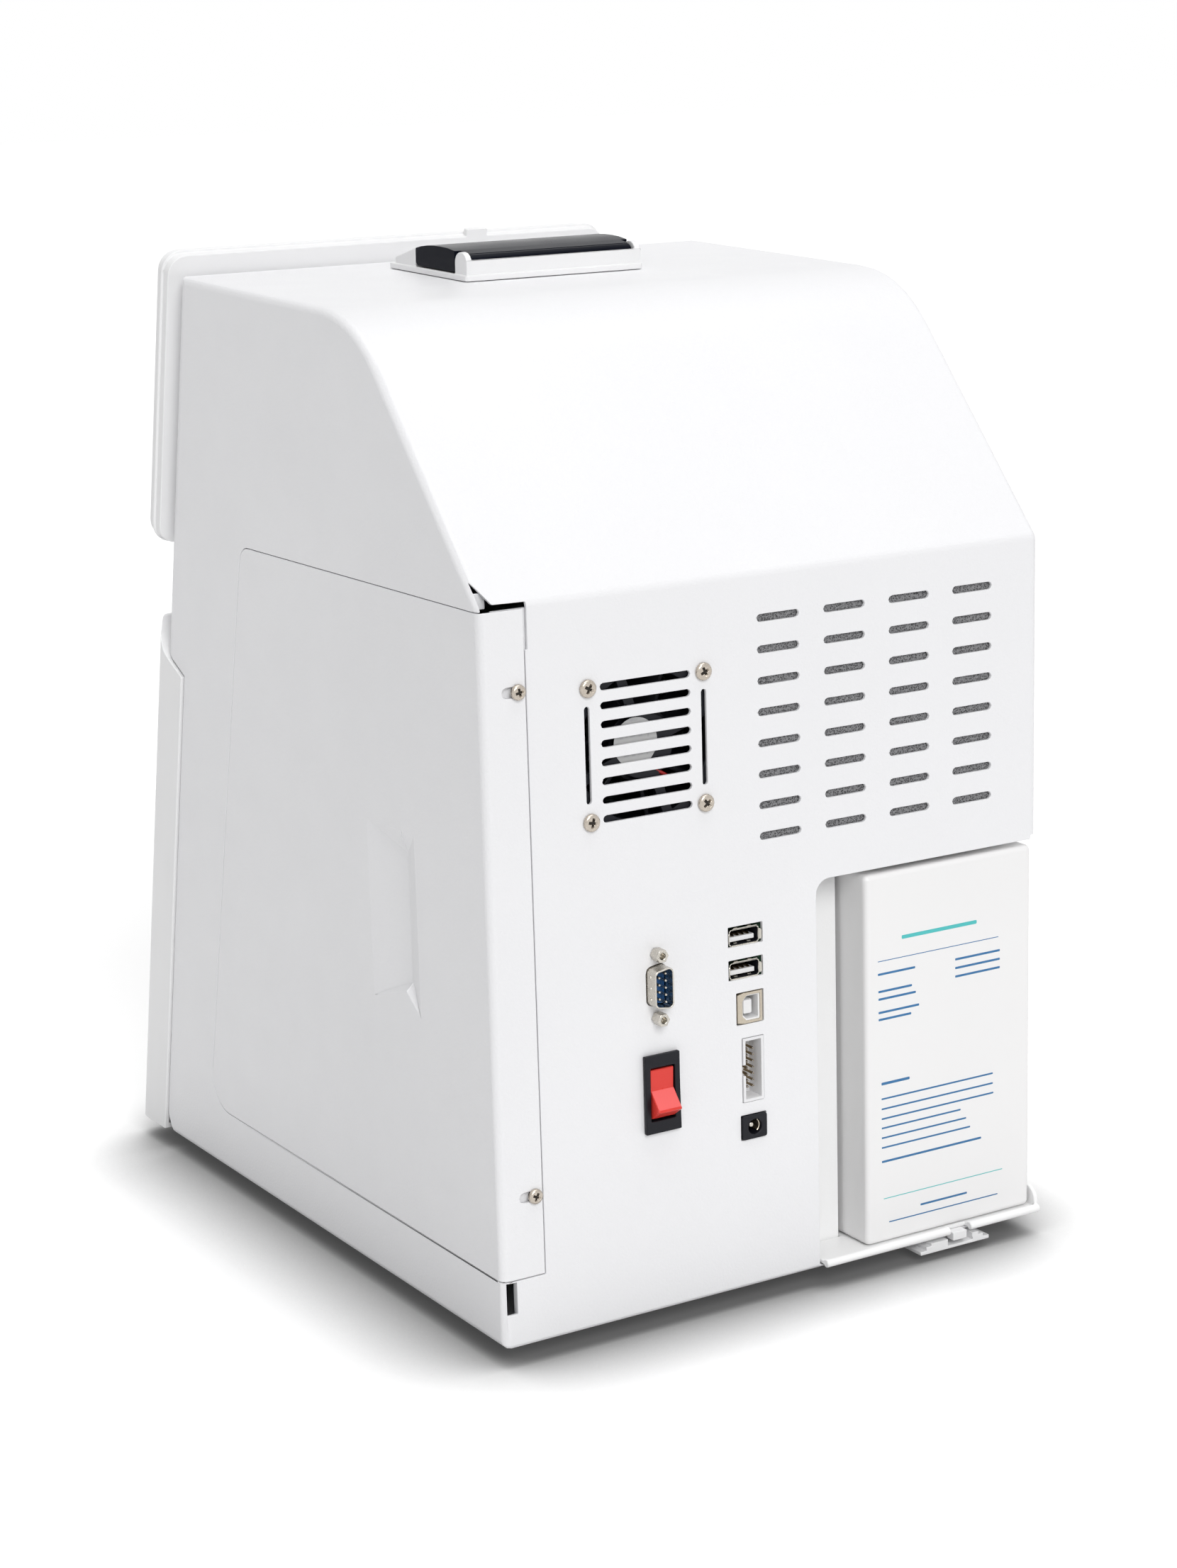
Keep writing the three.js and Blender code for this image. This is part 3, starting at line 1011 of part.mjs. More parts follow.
// The printer on top: a flanged frame with its paper well, a smoked lid on pins, the platen and the roll.
function printerUnit() {
  const base = new THREE.Group();
  base.position.set(0, -printerRear, crownAt(printerRear) + fit.gap);
  base.rotation.x = -crownTilt;
  analyzer.add(base);
  const outer = printer.width / 2;
  const rimX = outer - printer.rimInset;
  const top = printer.flangeThick;
  const flange = prismZ(rounded(rectangle(-outer, outer, -printer.depth, 0, printer.flangeRadius), 3), 0, top);
  const wallRear = -printer.rimInset;
  const wall = block(-rimX, rimX, wallRear - printer.wallThick, wallRear, 0, top + printer.wallRise);
  const wedgeFront = -printer.depth + printer.wedgeMargin;
  const wedgeRear = wedgeFront + printer.wedgeRun;
  const wedge = prismX(rounded([
    [wedgeFront, 0], [wedgeRear, 0], [wedgeRear, top + printer.wedgeRise],
    [wedgeFront, top + printer.wedgeLow, printer.wedgeRadius],
  ]), -rimX, rimX);
  const wellFace = printer.wellInset + fit.running;
  const well = block(
    -outer + wellFace, outer - wellFace, -printer.depth + wellFace, -wellFace, -printer.wellDepth, top,
  );
  const hollowX = outer - wellFace - printer.wellWall;
  const hollow = block(
    -hollowX, hollowX, wedgeRear + fit.hair, -wellFace - printer.wellWall, -printer.wellDepth + printer.wellWall,
    top + fit.over,
  );
  const pivotY = wallRear - printer.hingeInset;
  const pivotZ = top + printer.hingeRise;
  const lugFront = pivotY - printer.lug;
  const lugs = [-rimX, rimX - printer.lugWidth].map((x) => prismX(rounded([
    [lugFront, 0], [wallRear, 0], [wallRear, pivotZ + printer.lug, printer.lug - fit.hair],
    [lugFront, pivotZ + printer.lug, printer.lug - fit.hair],
  ]), x, x + printer.lugWidth));
  const bores = prismX(
    ring(pivotY, pivotZ, printer.pin + fit.gap, 12), -rimX + printer.pinReach, rimX - printer.pinReach,
  );
  place('printer_frame', without(joined([flange, wall, wedge, well, ...lugs]), [hollow, bores]), 'moulding', base);

  // The lid's outline runs back from its foot over the crown to the hinge.
  const lidFront = wedgeRear + fit.running;
  const skin = (drop) => {
    const low = top + fit.running;
    const crown = lidShares.map(([share, rise]) => [
      lidFront + drop + share * (pivotY - lidFront - drop), top + printer.lidRise * rise - drop,
    ]);
    const foot = drop > 0
      ? [[pivotY - printer.barrel - fit.over, low - fit.over], [lidFront + drop, low - fit.over]]
      : [[lugFront - fit.running, low, printer.lidFoot], [lidFront, low, printer.lidFoot]];
    return rounded([...foot, ...crown].map(([y, z, radius]) => [y, z, radius]).reverse());
  };
  const lidX = rimX - fit.running / 2;
  const betweenX = rimX - printer.lugWidth - fit.running;
  const cover = prismX(skin(0), -lidX, lidX);
  const under = prismX(skin(printer.lidThick), -lidX + printer.lidThick, lidX - printer.lidThick);
  const lugRoom = [-1, 1].map((side) => {
    const [from, to] = [side * betweenX, side * (outer + fit.over)];
    return block(
      Math.min(from, to), Math.max(from, to), lugFront - fit.running, fit.over, 0, top + printer.lidRise + fit.over,
    );
  });
  const barrel = prismX(ring(pivotY, pivotZ, printer.barrel, 20), -betweenX, betweenX);
  const pins = prismX(
    ring(pivotY, pivotZ, printer.pin, 12), -rimX + printer.pinReach + fit.gap, rimX - printer.pinReach - fit.gap,
  );
  place('printer_lid', without(cover.subtract(under), lugRoom).add(barrel).add(pins), 'smoke', base);

  const platenX = lidX - printer.lidThick - fit.gap;
  place('platen_roller', prismX(ring(
    lidFront + printer.platenInset, top + fit.running + printer.platen / 2, printer.platen / 2, 14,
  ), -platenX, platenX), 'rubber', base);
  const rollY = (wedgeRear - wellFace - printer.wellWall) / 2;
  const rollZ = -printer.wellDepth + printer.wellWall + fit.gap + printer.rollRadius;
  place('paper_roll', prismX(
    ring(rollY, rollZ, printer.rollRadius, 24), -printer.rollWidth / 2, printer.rollWidth / 2,
    [ring(rollY, rollZ, printer.rollCore, 12)],
  ), 'paper', base);
}

// The front door: a shell with side flanges whose left edge is rolled round the hinge axis.
const doorHalf = half + frontDoor.sideProud;
const doorFrontY = (z) => frontY(z) - frontDoor.proud;
const hingeX = -doorHalf + frontDoor.pivot;
const upperArm = cabinet.seamLevel - frontDoor.upperArmDrop;
const seamShift = frontDoor.seamGap / cosLean;
const hingeBack = frontDoor.pivot / cosLean;
const hingeY = (z) => seamY(z) - seamShift - hingeBack;

function hingeRod(radius, from, to, sides = 20) {
  const points = ring(hingeX, 0, radius, sides);
  return prismZ(points, from / cosLean, to / cosLean)
    .rotate([-cabinet.leanAngle, 0, 0]).translate([0, hingeY(0), 0]);
}

function frontDoorPieces() {
  const kneeLevel = knee.level - frontDoor.seamGap;
  const corners = [
    [seamY(frontDoor.bottom) - seamShift, frontDoor.bottom],
    [seamY(cabinet.seamLevel) - seamShift, cabinet.seamLevel - frontDoor.seamGap],
    [-knee.run - seamShift, kneeLevel, cabinet.kneeRadius],
    [-tip.run - seamShift, tip.level, frontDoor.seamGap],
    [doorFrontY(tip.level), tip.level, frontDoor.seamGap],
    [doorFrontY(frontDoor.bottom), frontDoor.bottom, frontDoor.toeRadius],
  ];
  const openCorners = inset([
    ...corners.slice(0, 2).map(([y, z]) => [y, z]), [-knee.run - seamShift, kneeLevel],
    [doorFrontY(kneeLevel), kneeLevel], [doorFrontY(frontDoor.bottom), frontDoor.bottom, frontDoor.toeRadius],
  ], frontDoor.wall);
  const climb = cabinet.kneeAbove / cabinet.kneeAhead;
  openCorners[0][0] += frontDoor.mouthReach;
  openCorners[1][0] += frontDoor.mouthReach;
  openCorners[1][1] -= frontDoor.mouthReach * climb;
  const outside = prismX(rounded(corners), -doorHalf, doorHalf)
    .intersect(leaningPlan(doorHalf, doorFrontY(0) - fit.hair, frontDoor.cornerRadius));
  const insideHalf = doorHalf - frontDoor.wall;
  const inside = prismX(rounded(openCorners), -insideHalf, insideHalf).intersect(leaningPlan(
    insideHalf, doorFrontY(0) + frontDoor.wall - fit.hair, frontDoor.cornerRadius - frontDoor.wall,
  ));
  const cornerPlan = (toX, fromY) => rounded(rectangle(
    -doorHalf - fit.over, toX, fromY, hingeY(0) + hingeBack + fit.over,
  ));
  const armNotches = [frontDoor.lowerArm, upperArm].map((z) => leaningPrism(
    cornerPlan(hingeX + frontDoor.pivot, hingeY(0) - frontDoor.pivot),
    z - frontDoor.armRoom, z + frontDoor.armThick + frontDoor.armRoom,
  ));
  const corner = leaningPrism(cornerPlan(hingeX, hingeY(0)), -fit.over, tip.level)
    .subtract(hingeRod(frontDoor.pivot, -fit.over - fit.gap, tip.level + fit.over));
  const relief = leaningPrism(
    cornerPlan(hingeX, hingeY(0) - frontDoor.reliefReach), cabinet.seamLevel - frontDoor.reliefDrop,
    tip.level + fit.over,
  );
  const barrelLow = frontDoor.lowerArm + frontDoor.armThick + frontDoor.armRoom;
  const barrelHigh = upperArm - frontDoor.armRoom;
  const bore = hingeRod(frontDoor.bore, barrelLow - fit.over, barrelHigh + fit.over, 14);
  const barrel = hingeRod(frontDoor.pivot - fit.hair, barrelLow, barrelHigh);
  const leaf = without(outside.subtract(inside), [corner, relief]).add(barrel.intersect(outside));
  place('front_door', without(leaf, [bore, ...armNotches]), 'moulding');

  const armInner = hingeX - frontDoor.armInset;
  [['door_hinge_lower', frontDoor.lowerArm, 1], ['door_hinge_upper', upperArm, -1]].forEach(([name, z, up]) => {
    const arm = leaningPrism(rounded(rectangle(
      armInner, armInner + frontDoor.armWidth, hingeY(0) - frontDoor.pin, seamY(0) - fit.gap,
    )), z, z + frontDoor.armThick);
    const from = up > 0 ? z + frontDoor.armThick / 2 : z - frontDoor.armReach;
    const to = up > 0 ? z + frontDoor.armThick + frontDoor.armReach : z + frontDoor.armThick / 2;
    place(name, arm.add(hingeRod(frontDoor.pin, from, to, 12)), 'steel');
  });
}

// Behind the front door: sensor block, peristaltic pump and pinch valve, all on the lower front wall.
function fluidics() {
  const base = leaningGroup(seamY(0), 0);
  const wall = -fit.gap;
  const { low, high, depth } = sensors;
  const middle = (low + high) / 2;
  const floor = wall - depth + sensors.boreDepth;
  const places = [];
  for (let i = 0; i < sensorCount; i += 1) {
    places.push(sensorsLeft + ((sensorsRight - sensorsLeft) * (i + 0.5)) / sensorCount);
  }
  const bores = places.map((x) => prismY(ring(x, middle, sensors.bore, 12), wall - depth - fit.over, floor));
  const blockBody = prismY(
    rounded(rectangle(sensorsLeft, sensorsRight, low, high, sensors.radius), 3), wall - depth, wall,
  );
  place('sensor_block', without(blockBody, bores), 'clear', base);
  const plugs = places.map((x) => prismY(
    ring(x, middle, sensors.capRadius, 12), wall - depth - sensors.capReach, floor - fit.gap,
  ));
  const bar = block(
    places[0], places[sensorCount - 1], wall - depth - sensors.capReach, wall - depth - fit.gap,
    middle - sensors.screw, middle + sensors.screw,
  );
  place('sensor_rack', joined([...plugs, bar]), 'beige', base);

  const { rise } = pump;
  const x = pumpX;
  const cup = prismY(ring(x, rise, pump.radius, 32), wall - pump.depth, wall);
  const track = prismY(
    ring(x, rise, pump.radius - pump.wall, 32), wall - pump.depth - fit.over, wall - pump.base,
  );
  const spindleRoom = prismY(
    ring(x, rise, pump.spindle + fit.gap, 16), wall - pump.base - fit.over, wall + fit.over,
  );
  place('pump_housing', without(cup, [track, spindleRoom]), 'grey', base);
  const rotorRear = wall - pump.base - fit.running;
  const rotorParts = [
    prismY(ring(x, rise, pump.arm, 24), rotorRear - pump.thick, rotorRear),
    prismY(ring(x, rise, pump.spindle, 16), rotorRear - fit.over, cabinet.sheet),
  ];
  for (let i = 0; i < pump.rollers; i += 1) {
    const angle = Math.PI / 4 + (i * 2 * Math.PI) / pump.rollers;
    rotorParts.push(prismY(ring(
      x + pump.arm * Math.cos(angle), rise + pump.arm * Math.sin(angle), pump.rollerRadius, 10,
    ), rotorRear - pump.thick - pump.rollerStep, rotorRear));
  }
  place('pump_rotor', joined(rotorParts), 'black', base);

  const body = prismY(rounded(rectangle(
    x - valve.size / 2, x + valve.size / 2, valve.low, valve.low + valve.size, sensors.radius,
  ), 3), wall - valve.depth, wall);
  const stem = prismY(
    ring(x, valve.low + valve.size / 2, valve.plunger, 14), wall - valve.depth - valve.plungerReach,
    wall - valve.depth + fit.over,
  );
  place('pinch_valve', body.add(stem), 'steel', base);
  return base;
}

// The pump's spindle passes the front wall to its motor.
function pumpMotor() {
  const base = leaningGroup(seamY(0), 0);
  const wall = cabinet.sheet + fit.gap;
  place('pump_motor', prismY(ring(pumpX, pump.rise, pump.motor, 32), wall, wall + pump.motorLength), 'steel', base);
}

// The closed inside: a power supply on the base and the main board on the bay's roof.
function electronics() {
  const low = cabinet.sheet + fit.gap;
  const supplyFront = -cabinet.seamRun + powerSupply.behindSeam;
  place('power_supply', prismZ(rounded(rectangle(
    bayWallX + powerSupply.fromBay, half - powerSupply.inset, supplyFront, supplyFront + powerSupply.length,
    powerSupply.edge,
  ), 3), low, low + powerSupply.height), 'grey');
  const { thick, spacerInset, chips, chip } = mainBoard;
  const [left, right] = [-half + mainBoard.inset, bayWallX + mainBoard.pastBay];
  const front = -bay.depth + mainBoard.behindBack;
  const rear = front + mainBoard.length;
  const level = bayRoof + mainBoard.aboveRoof;
  const parts = [block(left, right, front, rear, level, level + thick)];
  [left + spacerInset, right - spacerInset].forEach((x) => [front + spacerInset, rear - spacerInset].forEach((y) => {
    parts.push(prismZ(ring(x, y, mainBoard.spacer, 6), bayRoof + bay.sheet + fit.gap * 2, level + thick / 2));
  }));
  for (let i = 0; i < chips; i += 1) {
    const x = left + ((right - left) * (i + 0.5)) / chips - chip / 2;
    parts.push(block(
      x, x + chip, (front + rear) / 2, (front + rear) / 2 + chip, level + thick / 2,
      level + thick + mainBoard.chipHeight,
    ));
  }
  place('main_board', joined(parts), 'green');
}

cabinetSheets();
serviceDoorPieces();
feet();
coolingFan();
ventFilter();
mainsSwitch();
serialSocket();
sockets();
interfaceBoard();
reagentBay();
reagentDrawer();
drawerCatch();
displayUnit();
samplerUnit();
printerUnit();
frontDoorPieces();
fluidics();
pumpMotor();
electronics();

// The group's origin lies on the table, below the middle of the whole depth.
const rearmost = serial.reach;
const foremost = doorFrontY(frontDoor.bottom);
analyzer.position.set(0, -(rearmost + foremost) / 2, foot.height);
analyzer.updateMatrixWorld(true);

export default analyzer;
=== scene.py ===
import json
import math

import bmesh
import bpy
from mathutils import Euler, Matrix, Vector
from mathutils.geometry import delaunay_2d_cdt

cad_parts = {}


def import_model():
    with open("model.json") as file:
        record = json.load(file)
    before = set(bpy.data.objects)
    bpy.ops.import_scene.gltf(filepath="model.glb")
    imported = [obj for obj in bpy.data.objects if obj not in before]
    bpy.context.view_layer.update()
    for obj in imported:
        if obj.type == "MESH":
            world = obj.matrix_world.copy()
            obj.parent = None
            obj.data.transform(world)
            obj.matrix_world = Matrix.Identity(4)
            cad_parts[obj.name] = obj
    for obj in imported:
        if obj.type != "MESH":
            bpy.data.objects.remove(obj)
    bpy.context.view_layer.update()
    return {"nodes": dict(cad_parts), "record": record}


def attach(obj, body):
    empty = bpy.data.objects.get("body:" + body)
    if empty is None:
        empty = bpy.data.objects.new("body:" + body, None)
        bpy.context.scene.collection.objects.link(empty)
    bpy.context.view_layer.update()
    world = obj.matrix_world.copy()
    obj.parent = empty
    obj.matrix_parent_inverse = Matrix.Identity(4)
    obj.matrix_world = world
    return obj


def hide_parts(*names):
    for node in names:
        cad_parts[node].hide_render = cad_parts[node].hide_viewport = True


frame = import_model()
nodes = frame["nodes"]
MM = 0.001
# The cabinet's own frame, in millimetres, has its rear face at y = 0 and its bottom edge at z = 0. The outer
# face of the service door lies at side_x.
ORIGIN = Vector((0, 164.014361740415, 8))
side_x = 126


# Material helpers

def new_material(name):
    material = bpy.data.materials.new(name)
    material.use_nodes = True
    tree = material.node_tree
    tree.nodes.clear()
    out = tree.nodes.new("ShaderNodeOutputMaterial")
    shader = tree.nodes.new("ShaderNodeBsdfPrincipled")
    tree.links.new(shader.outputs["BSDF"], out.inputs["Surface"])
    return material, tree, shader


def add(tree, kind, **values):
    node = tree.nodes.new(kind)
    for key, value in values.items():
        if key in node.inputs:
            node.inputs[key].default_value = value
        else:
            setattr(node, key, value)
    return node


def mapped(tree):
    place = tree.nodes.new("ShaderNodeTexCoord")
    mapping = tree.nodes.new("ShaderNodeMapping")
    tree.links.new(place.outputs["Object"], mapping.inputs["Vector"])
    return mapping.outputs["Vector"]


def noise(tree, vector, scale, detail=2.0, roughness=0.5):
    node = tree.nodes.new("ShaderNodeTexNoise")
    node.inputs["Scale"].default_value = scale
    node.inputs["Detail"].default_value = detail
    node.inputs["Roughness"].default_value = roughness
    tree.links.new(vector, node.inputs["Vector"])
    return node.outputs["Fac"]


def ramp(tree, value, stops):
    node = tree.nodes.new("ShaderNodeValToRGB")
    elements = node.color_ramp.elements
    while len(elements) < len(stops):
        elements.new(0.5)
    for element, (position, colour) in zip(elements, stops):
        element.position = position
        element.color = (*colour, 1)
    tree.links.new(value, node.inputs["Fac"])
    return node.outputs["Color"]


def spread(tree, value, low, high):
    """A noise value, which lies mostly between 0.3 and 0.7, spread over a range."""
    node = tree.nodes.new("ShaderNodeMapRange")
    node.inputs["From Min"].default_value = 0.3
    node.inputs["From Max"].default_value = 0.7
    node.inputs["To Min"].default_value = low
    node.inputs["To Max"].default_value = high
    tree.links.new(value, node.inputs["Value"])
    return node.outputs["Result"]


def bump(tree, shader, heights):
    last = None
    for value, strength, distance in heights:
        node = tree.nodes.new("ShaderNodeBump")
        node.inputs["Strength"].default_value = strength
        node.inputs["Distance"].default_value = distance
        tree.links.new(value, node.inputs["Height"])
        if last is not None:
            tree.links.new(last, node.inputs["Normal"])
        last = node.outputs["Normal"]
    tree.links.new(last, shader.inputs["Normal"])


def shade(colour, factor):
    return tuple(min(1.0, c * factor) for c in colour)


def coated(name, colour, rough=(0.34, 0.46), peel=900.0, strength=0.12, grain=4200.0, grain_strength=0.05,
           mottle=0.012, coat=0.0, spec=0.5):
    """Painted or moulded surface: slow mottling, an orange peel or moulded texture, and uneven gloss."""
    material, tree, shader = new_material(name)
    vector = mapped(tree)
    slow = noise(tree, vector, 9.0, 3.0)
    colours = ramp(tree, slow, [(0.3, shade(colour, 1 - mottle)), (0.7, shade(colour, 1 + mottle))])
    tree.links.new(colours, shader.inputs["Base Color"])
    gloss = noise(tree, vector, 60.0, 4.0)
    tree.links.new(spread(tree, gloss, *rough), shader.inputs["Roughness"])
    shader.inputs["Specular IOR Level"].default_value = spec
    shader.inputs["Coat Weight"].default_value = coat
    shader.inputs["Coat Roughness"].default_value = 0.2
    bump(tree, shader, [
        (noise(tree, vector, peel, 1.5), strength, 0.0004),
        (noise(tree, vector, grain, 1.0), grain_strength, 0.0001),
    ])
    return material


def metal(name, colour, rough, strength=0.06):
    material, tree, shader = new_material(name)
    streaks = noise(tree, mapped(tree), 1400.0, 3.0)
    colours = ramp(tree, streaks, [(0.25, shade(colour, 0.86)), (0.75, shade(colour, 1.06))])
    tree.links.new(colours, shader.inputs["Base Color"])
    shader.inputs["Metallic"].default_value = 1.0
    tree.links.new(spread(tree, streaks, *rough), shader.inputs["Roughness"])
    bump(tree, shader, [(streaks, strength, 0.0001)])
    return material


def foam(name, dark, light):
    material, tree, shader = new_material(name)
    vector = mapped(tree)
    cells = add(tree, "ShaderNodeTexVoronoi", Scale=1500.0)
    tree.links.new(vector, cells.inputs["Vector"])
    specks = noise(tree, vector, 900.0, 5.0, 0.7)
    mixed = add(tree, "ShaderNodeMath", operation="MULTIPLY")
    tree.links.new(cells.outputs["Distance"], mixed.inputs[0])
    tree.links.new(specks, mixed.inputs[1])
    colours = ramp(tree, mixed.outputs["Value"], [(0.08, dark), (0.3, light)])
    tree.links.new(colours, shader.inputs["Base Color"])
    shader.inputs["Roughness"].default_value = 0.95
    bump(tree, shader, [(mixed.outputs["Value"], 0.8, 0.001)])
    return material


def glossy(name, colour, rough=(0.06, 0.12), coat=0.0, transmission=0.0, mottle=0.05, spec=0.5):
    material, tree, shader = new_material(name)
    vector = mapped(tree)
    smears = noise(tree, vector, 45.0, 5.0, 0.6)
    colours = ramp(tree, smears, [(0.3, shade(colour, 1 - mottle)), (0.7, shade(colour, 1 + mottle))])
    tree.links.new(colours, shader.inputs["Base Color"])
    tree.links.new(spread(tree, smears, *rough), shader.inputs["Roughness"])
    shader.inputs["Specular IOR Level"].default_value = spec
    shader.inputs["Coat Weight"].default_value = coat
    shader.inputs["Transmission Weight"].default_value = transmission
    bump(tree, shader, [(noise(tree, vector, 240.0, 1.0), 0.02, 0.0002)])
    return material


white_paint = coated("white_powder_coat", (0.83, 0.83, 0.845), (0.36, 0.48), 1000.0, 0.32, 4200.0, 0.08)
white_moulding = coated("white_moulding", (0.85, 0.85, 0.855), (0.3, 0.42), 1600.0, 0.06, 6000.0, 0.04)
materials = {
    "white_paint": white_paint,
    "white_moulding": white_moulding,
    "foot_rubber": coated("black_rubber", (0.02, 0.02, 0.021), (0.7, 0.85), 1500.0, 0.2, 5000.0, 0.2, 0.1, spec=0.3),
    "nickel_steel": metal("nickel_plate", (0.6, 0.57, 0.515), (0.18, 0.32), strength=0.02),
    "smoked_plastic": glossy("smoked_lid", (0.004, 0.005, 0.010), (0.2, 0.28), spec=0.05),
    "black_plastic": coated(
        "black_moulding", (0.006, 0.0065, 0.010), (0.38, 0.55), 2500.0, 0.12, 7000.0, 0.1, 0.08, spec=0.25),
    "red_plastic": coated(
        "red_rocker", (0.7, 0.045, 0.034), (0.25, 0.35), 1800.0, 0.04, 6000.0, 0.03, 0.03, coat=0.1, spec=0.3),
    "blue_plastic": coated(
        "blue_insert", (0.002, 0.062, 0.2), (0.3, 0.42), 2000.0, 0.05, 7000.0, 0.04, 0.05, spec=0.3),
    "grey_foam": foam("grey_foam", (0.02, 0.02, 0.021), (0.3, 0.3, 0.31)),
    "green_laminate": coated("green_laminate", (0.01, 0.09, 0.035), (0.25, 0.4), 3000.0, 0.08, 8000.0, 0.05, 0.15),
    "white_paper": coated("thermal_paper", (0.8, 0.79, 0.74), (0.6, 0.75), 2600.0, 0.2, 8000.0, 0.2, 0.03, spec=0.3),
    "dark_glass": glossy("display_glass", (0.008, 0.009, 0.012), (0.03, 0.07), coat=0.5),
    "beige_plastic": coated("beige_plastic", (0.62, 0.56, 0.44), (0.35, 0.5), 1800.0, 0.08, 6000.0, 0.05, 0.04),
    "grey_plastic": coated("grey_plastic", (0.36, 0.36, 0.37), (0.4, 0.55), 2000.0, 0.1, 7000.0, 0.07, 0.05),
    "pack_skin": coated("pack_skin", (0.845, 0.84, 0.84), (0.3, 0.42), 420.0, 0.05, 5200.0, 0.06, 0.012, coat=0.15),
    "clear_acrylic": glossy("clear_acrylic", (0.62, 0.7, 0.72), (0.05, 0.1), transmission=0.7, mottle=0.02),
}
header_grey = coated("header_shroud", (0.78, 0.78, 0.79), (0.4, 0.5), 2000.0, 0.06, 7000.0, 0.05, 0.03)
contact_gold = metal("contact_gold", (0.3, 0.22, 0.12), (0.25, 0.4))
socket_nickel = metal("socket_nickel", (0.6, 0.575, 0.52), (0.16, 0.28))
face_nickel = metal("face_nickel", (0.55, 0.49, 0.4), (0.3, 0.42))
screw_nickel = metal("screw_nickel", (0.53, 0.475, 0.41), (0.2, 0.32), strength=0.02)
recess_shade = metal("recess_shade", (0.05, 0.045, 0.04), (0.4, 0.6), strength=0.02)
# A lighter red for the rocker's lower sloping face: painted highlight.
red_painted_highlight = coated("red_painted_highlight", (0.86, 0.12, 0.115), (0.2, 0.3), 1800.0, 0.04, 6000.0, 0.03, 0.03, coat=0.2)
disc_silver = coated("disc_silver", (0.42, 0.42, 0.42), (0.3, 0.4), 800.0, 0.05, 6000.0, 0.03, 0.05)
print_blue = coated("print_blue", (0.025, 0.15, 0.34), (0.4, 0.5), 2500.0, 0.03, 7000.0, 0.03, 0.12)
print_teal = coated("print_teal", (0.07, 0.5, 0.5), (0.4, 0.5), 2500.0, 0.03, 7000.0, 0.03, 0.08)
lead_red = coated("lead_red", (0.32, 0.008, 0.008), (0.35, 0.5), 2500.0, 0.05, 7000.0, 0.04, 0.05)
# A lighter copy of the white paint for the bay's walls, roof and the drawer: painted light that makes up for the
# shade inside the bay.
bay_white_painted_light = coated("bay_white_painted_light", (0.93, 0.93, 0.93), (0.36, 0.48), 1000.0, 0.12)
slot_of = {row["node"]: row["material_slot"] for row in frame["record"]["subparts"]}


# Finishing of edges

def smoothing_group(angle):
    group = bpy.data.node_groups.new("smooth_%d" % round(math.degrees(angle)), "GeometryNodeTree")
    group.interface.new_socket("Geometry", in_out="INPUT", socket_type="NodeSocketGeometry")
    group.interface.new_socket("Geometry", in_out="OUTPUT", socket_type="NodeSocketGeometry")
    tree = group.nodes
    source = tree.new("NodeGroupInput")
    target = tree.new("NodeGroupOutput")
    faces = tree.new("GeometryNodeSetShadeSmooth")
    faces.domain = "FACE"
    faces.inputs["Shade Smooth"].default_value = True
    edges = tree.new("GeometryNodeSetShadeSmooth")
    edges.domain = "EDGE"
    edges.inputs["Shade Smooth"].default_value = False
    bend = tree.new("GeometryNodeInputMeshEdgeAngle")
    test = tree.new("FunctionNodeCompare")
    test.data_type = "FLOAT"
    test.operation = "GREATER_THAN"
    test.inputs["B"].default_value = angle
    group.links.new(source.outputs[0], faces.inputs["Geometry"])
    group.links.new(bend.outputs["Unsigned Angle"], test.inputs["A"])
    group.links.new(faces.outputs["Geometry"], edges.inputs["Geometry"])
    group.links.new(test.outputs["Result"], edges.inputs["Selection"])
    group.links.new(edges.outputs["Geometry"], target.inputs[0])
    return group


soft_curves = smoothing_group(math.radians(40))


def bevelled(obj, width, segments=2, limit=41):
    bevel = obj.modifiers.new("bevel", "BEVEL")
    bevel.width = width
    bevel.segments = segments
    bevel.limit_method = "ANGLE"
    bevel.angle_limit = math.radians(limit)
    bevel.use_clamp_overlap = False
    bevel.miter_outer = "MITER_ARC"


def soften(obj, width, segments=2, limit=41):
    weld = obj.modifiers.new("weld", "WELD")
    weld.merge_threshold = 0.000002
    smooth = obj.modifiers.new("smooth", "NODES")
    smooth.node_group = soft_curves
    if width > 0:
        bevelled(obj, width, segments, limit)
    even = obj.modifiers.new("even", "WEIGHTED_NORMAL")
    even.mode = "FACE_AREA"
    even.keep_sharp = True


def dress(obj, material):
    obj.data.materials.clear()
    obj.data.materials.append(material)


def linked(name, data):
    obj = bpy.data.objects.new(name, data)
    bpy.context.scene.collection.objects.link(obj)
    return obj


def applied(obj):
    depsgraph = bpy.context.evaluated_depsgraph_get()
    mesh = bpy.data.meshes.new_from_object(obj.evaluated_get(depsgraph))
    obj.modifiers.clear()
    obj.data = mesh


# How far two faces of one flat region may bend, in radians, how far a corner may lie off the region's plane, in
# metres, and the area of a sliver, whose normal says nothing, in square metres.
flat_bend = 0.006
plane_gap = 0.000002
sliver_area = 0.0000000001


def flat_regions(work):
    """The number of the flat region that each face belongs to, and the area of each region."""
    work.faces.ensure_lookup_table()
    work.faces.index_update()
    region = [-1] * len(work.faces)
    areas = []
    for seed in sorted(work.faces, key=lambda face: -face.calc_area()):
        if region[seed.index] >= 0:
            continue
        mark = len(areas)
        region[seed.index] = mark
        total = 0.0
        stack = [seed]
        while stack:
            face = stack.pop()
            total += face.calc_area()
            for edge in face.edges:
                for other in edge.link_faces:
                    if region[other.index] < 0 and other.normal.angle(seed.normal, 1.0) < flat_bend:
                        region[other.index] = mark
                        stack.append(other)
        areas.append(total)
    return region, areas


